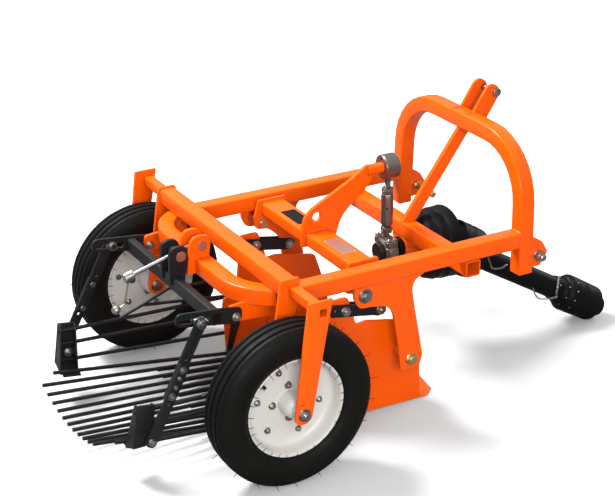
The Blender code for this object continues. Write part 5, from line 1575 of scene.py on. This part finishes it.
class HARVESTER_OT_welds(bpy.types.Operator):
    """Lays the weld beads of the frame and the rocker"""

    bl_idname = "harvester.welds"
    bl_label = "Weld Beads"

    def execute(self, context):
        self.chance = random.Random(5)
        for name, body, runs in self.runs():
            finish([self.bead(*run) for run in runs], name, "weld_orange", body,
                   angle=60)
        return {"FINISHED"}

    def bead(self, start, end):
        """One bead: a bar whose width swells and sinks with each pass of the torch."""
        radius = bpy.context.scene.harvester_sizes.weld_radius
        start, end = Vector(start), Vector(end)
        count = max(4, int((end - start).length / WELD_STEP))
        points, radii = [], []
        for index in range(count + 1):
            t = index / count
            wobble = Vector([self.chance.uniform(-1, 1) for _ in range(3)]) * WELD_WANDER
            points.append(start.lerp(end, t) + wobble)
            swell = 1.0 if index % 2 else 0.84
            ends = min(1.0, 0.45 + 3.5 * min(t, 1 - t))
            radii.append(swell * ends * self.chance.uniform(0.93, 1.05))
        return bar(points, radius, 8, radii)

    def runs(self):
        """Every row of beads: name, body and the ends of each run."""
        low_f, high_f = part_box("front_cross_tube")
        low_r, high_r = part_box("rear_cross_tube")
        low_b, high_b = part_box("rocker_beam")
        arch_low, arch_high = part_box("hitch_arch")
        frame_runs, rocker_runs = [], []

        def along(runs, x, y, z, gap=0.004):
            """A run between two values of one coordinate, stopped short of both by a gap."""
            ends = [list(c) if isinstance(c, tuple) else [c, c] for c in (x, y, z)]
            for pair in (pair for pair in ends if pair[0] != pair[1]):
                way = math.copysign(gap, pair[1] - pair[0])
                pair[:] = pair[0] + way, pair[1] - way
            runs.append(tuple(zip(*ends)))

        for name, sign in SIDES:
            rail_low, rail_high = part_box(f"side_rail_{name}")
            inner, outer = faces(f"side_rail_{name}", sign)
            # rail to cross tubes
            along(frame_runs, (inner, outer), low_f.y, low_f.z + 0.05)
            along(frame_runs, inner, (low_f.y, high_f.y), high_f.z)
            for x in (inner, outer):
                along(frame_runs, x, (low_r.y, high_r.y), low_r.z, 0.005)
            # rail to arch
            for height in (rail_high.z, rail_low.z):
                along(frame_runs, (inner, outer), arch_low.y, height)
            along(frame_runs, outer, arch_low.y, (rail_low.z, rail_high.z))
            # lower lugs to arch
            lug_low, lug_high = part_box(f"lower_hitch_lug_{name}")
            for x in (lug_low.x, lug_high.x):
                along(frame_runs, x, lug_low.y, (lug_low.z, lug_high.z))
            # top plates to arch
            plate_low, plate_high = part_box(f"top_link_plate_{name}")
            for x in (plate_low.x, plate_high.x):
                start = (x, plate_low.y + 0.004, arch_high.z)
                frame_runs.append((start, (x, plate_low.y + 0.046, arch_high.z)))
            # leg plates under the rails
            leg, leg_y = faces(f"leg_plate_{name}", sign)[1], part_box(f"leg_plate_{name}")[0].y
            frame_runs.append(((leg, leg_y + 0.006, rail_low.z), (leg, leg_y + 0.23, rail_low.z)))
            # wheel plates to the cross tube
            fork = faces(f"wheel_plate_inner_{name}", sign)[0]
            along(frame_runs, fork, (low_r.y, high_r.y), high_r.z - 0.0035)
            for y in (high_r.y, low_r.y):
                along(frame_runs, fork, y, (low_r.z, high_r.z), 0.006)
            # rocker ends
            end = faces(f"rocker_end_{name}", sign)[0]
            along(rocker_runs, end, (low_b.y, high_b.y), high_b.z)
            along(rocker_runs, end, low_b.y, (low_b.z, high_b.z))
        arm_low, arm_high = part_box("mast_brace")
        for x in (arm_low.x, arm_high.x):
            along(frame_runs, x, (low_f.y, high_f.y), high_f.z, 0.001)
        for x in (-0.006, 0.006):
            along(rocker_runs, x, (low_b.y, high_b.y), high_b.z, 0.003)
            along(rocker_runs, x, low_b.y, (low_b.z, high_b.z), 0.003)
        return ("frame_welds", "frame", frame_runs), ("rocker_welds", "rocker", rocker_runs)


class HARVESTER_OT_plates(bpy.types.Operator):
    """Rivets two blank plates on the rocker's beam"""

    bl_idname = "harvester.plates"
    bl_label = "Blank Plates"

    def execute(self, context):
        low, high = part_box("rocker_beam")
        for name, look, x, width, depth in (
            ("plate_black_blank", "plate_black", -0.118, 0.113, 0.049),
            ("plate_silver_blank", "plate_silver", 0.141, 0.113, 0.047),
        ):
            bpy.ops.object.select_all(action="DESELECT")
            bpy.ops.mesh.primitive_plane_add(size=1, location=(0, 0, 0))
            plate = bpy.context.active_object
            plate.scale = (width, depth, 1)
            bpy.ops.object.transform_apply(location=False, rotation=False, scale=True)
            edit(plate)
            bpy.ops.mesh.select_all(action="SELECT")
            bpy.ops.mesh.bevel(offset=0.003, segments=4, affect="VERTICES")
            bpy.ops.mesh.select_all(action="SELECT")
            bpy.ops.mesh.extrude_region_move(TRANSFORM_OT_translate={"value": (0, 0, 0.0008)})
            leave()
            clean(plate)
            rivet = turned(mm((1.6, 0), (1.6, 0.6), (1, 1.1), (0.4, 1.2)), 14)
            u, v = width / 2 - 0.0045, depth / 2 - 0.0045
            corners = ((-u, -v), (-u, v), (u, -v), (u, v))
            rivets = spread(rivet, *(((x_off, y_off, 0.0007),) for x_off, y_off in corners))
            plate = joined(name, plate, *rivets)
            settle(plate, (x, (low.y + high.y) / 2, high.z + 0.0001))
            finish([plate], name, look, "rocker")
        return {"FINISHED"}


class HARVESTER_OT_stage(bpy.types.Operator):
    """Lays the floor, hangs the lamps and sets the camera"""

    bl_idname = "harvester.stage"
    bl_label = "Stage"

    def execute(self, context):
        self.floor()
        self.lamps()
        self.camera()
        context.scene.view_settings.view_transform = "Standard"
        return {"FINISHED"}

    def floor(self):
        """A wide pale floor that shows white, with the machine's shadow on it."""
        bpy.ops.object.select_all(action="DESELECT")
        bpy.ops.mesh.primitive_plane_add(size=60, location=(0, 0, -0.0002))
        floor = bpy.context.active_object
        floor.name = "studio_floor"
        material, tree, shader = new_material("studio_floor_white")
        seen = tree.nodes.new("ShaderNodeLightPath").outputs["Is Camera Ray"]
        away = add_node(tree, "ShaderNodeVectorMath", {0: placed_at(tree)}, operation="LENGTH")
        glow = scaled_to(tree, away.outputs["Value"], 1.3, 3.2, 0.04, 1.0)
        wire(tree, shader, {
            "Roughness": 0.9,
            "Specular IOR Level": 0.0,
            "Emission Color": (1, 1, 1, 1),
            "Base Color": mixed(tree, seen, (0.2, 0.2, 0.2, 1), (0.66, 0.66, 0.66, 1)),
            "Emission Strength": maths(tree, "MULTIPLY", seen, glow),
        })
        floor.data.materials.append(material)

    def lamps(self):
        """One large soft lamp high on the left, a weaker one in front and an even sky."""
        for name, place, aim, size, power in (
            ("key", (-2.0, -1.6, 4.2), (0.1, 0.0, 0.3), 1.6, 400),
            ("fill", (4.6, -2.0, 2.4), (0.0, 0.0, 0.3), 2.4, 215),
            ("rim_light", (-1.0, 4.5, 2.6), (0.0, 0.2, 0.4), 2.0, 60),
        ):
            data = bpy.data.lights.new(name, "AREA")
            data.size = size
            data.energy = power
            lamp = bpy.data.objects.new(name, data)
            lamp.location = place
            lamp.rotation_euler = (Vector(aim) - Vector(place)).to_track_quat("-Z", "Y").to_euler()
            bpy.context.scene.collection.objects.link(lamp)
        world = bpy.data.worlds.new("studio_sky")
        bpy.context.scene.world = world
        world.use_nodes = True
        tree = world.node_tree
        path = tree.nodes.new("ShaderNodeLightPath").outputs
        seen = maths(tree, "MAXIMUM", path["Is Camera Ray"], path["Is Transmission Ray"])
        sky = scaled_to(tree, height_of(tree, placed_at(tree, "Generated")), 0.05, 0.5, 0.25, 0.7)
        strength = scaled_to(tree, seen, 0.0, 1.0, sky, 1.0)
        wire(tree, tree.nodes["Background"], {"Strength": strength, "Color": (1, 1, 1, 1)})

    def camera(self):
        """A long lens from the machine's front right, above it."""
        place = at(3.677, -2.127, 2.324)
        target = at(0.0, 0.0, 0.446)
        data = bpy.data.cameras.new("view")
        data.sensor_width = 36.0
        data.lens = 90.28
        camera = bpy.data.objects.new("view", data)
        turn = (target - place).to_track_quat("-Z", "Y").to_matrix().to_4x4()
        roll = Matrix.Rotation(math.radians(0.22), 4, "Z")
        camera.matrix_world = Matrix.Translation(place) @ turn @ roll
        bpy.context.scene.collection.objects.link(camera)
        bpy.context.scene.camera = camera


OPERATORS = (
    HARVESTER_OT_finishes,
    HARVESTER_OT_wheels,
    HARVESTER_OT_mast,
    HARVESTER_OT_frame_bolts,
    HARVESTER_OT_wheel_plates,
    HARVESTER_OT_grate,
    HARVESTER_OT_shaker_bolts,
    HARVESTER_OT_connecting_rod,
    HARVESTER_OT_screw,
    HARVESTER_OT_driveline,
    HARVESTER_OT_welds,
    HARVESTER_OT_plates,
    HARVESTER_OT_stage,
)


class HARVESTER_PT_panel(bpy.types.Panel):
    """Lists the machine's finishes, sizes and steps"""

    bl_idname = "HARVESTER_PT_panel"
    bl_label = "Potato Harvester"
    bl_space_type = "VIEW_3D"
    bl_region_type = "UI"
    bl_category = "Harvester"

    def draw(self, context):
        for group in (context.scene.harvester_paint, context.scene.harvester_sizes):
            box = self.layout.box()
            for name in group.bl_rna.properties.keys():
                if name not in ("rna_type", "name"):
                    box.prop(group, name)
        for operator in OPERATORS:
            self.layout.operator(operator.bl_idname)


CLASSES = (HarvesterPaint, HarvesterSizes, *OPERATORS, HARVESTER_PT_panel)


def register():
    """Registers the classes and hangs the settings on the scene."""
    for cls in CLASSES:
        bpy.utils.register_class(cls)
    bpy.types.Scene.harvester_paint = bpy.props.PointerProperty(type=HarvesterPaint)
    bpy.types.Scene.harvester_sizes = bpy.props.PointerProperty(type=HarvesterSizes)


def unregister():
    """Takes the settings off the scene and removes the classes."""
    del bpy.types.Scene.harvester_sizes
    del bpy.types.Scene.harvester_paint
    for cls in reversed(CLASSES):
        bpy.utils.unregister_class(cls)


def main():
    """Runs every step."""
    register()
    bpy.ops.harvester.stage()
    bpy.ops.harvester.finishes()
    bpy.ops.harvester.wheels()
    bpy.ops.harvester.mast()
    bpy.ops.harvester.frame_bolts()
    bpy.ops.harvester.wheel_plates()
    bpy.ops.harvester.grate()
    bpy.ops.harvester.shaker_bolts()
    bpy.ops.harvester.connecting_rod()
    bpy.ops.harvester.screw()
    bpy.ops.harvester.driveline()
    bpy.ops.harvester.welds()
    bpy.ops.harvester.plates()


if __name__ == "__main__":
    main()
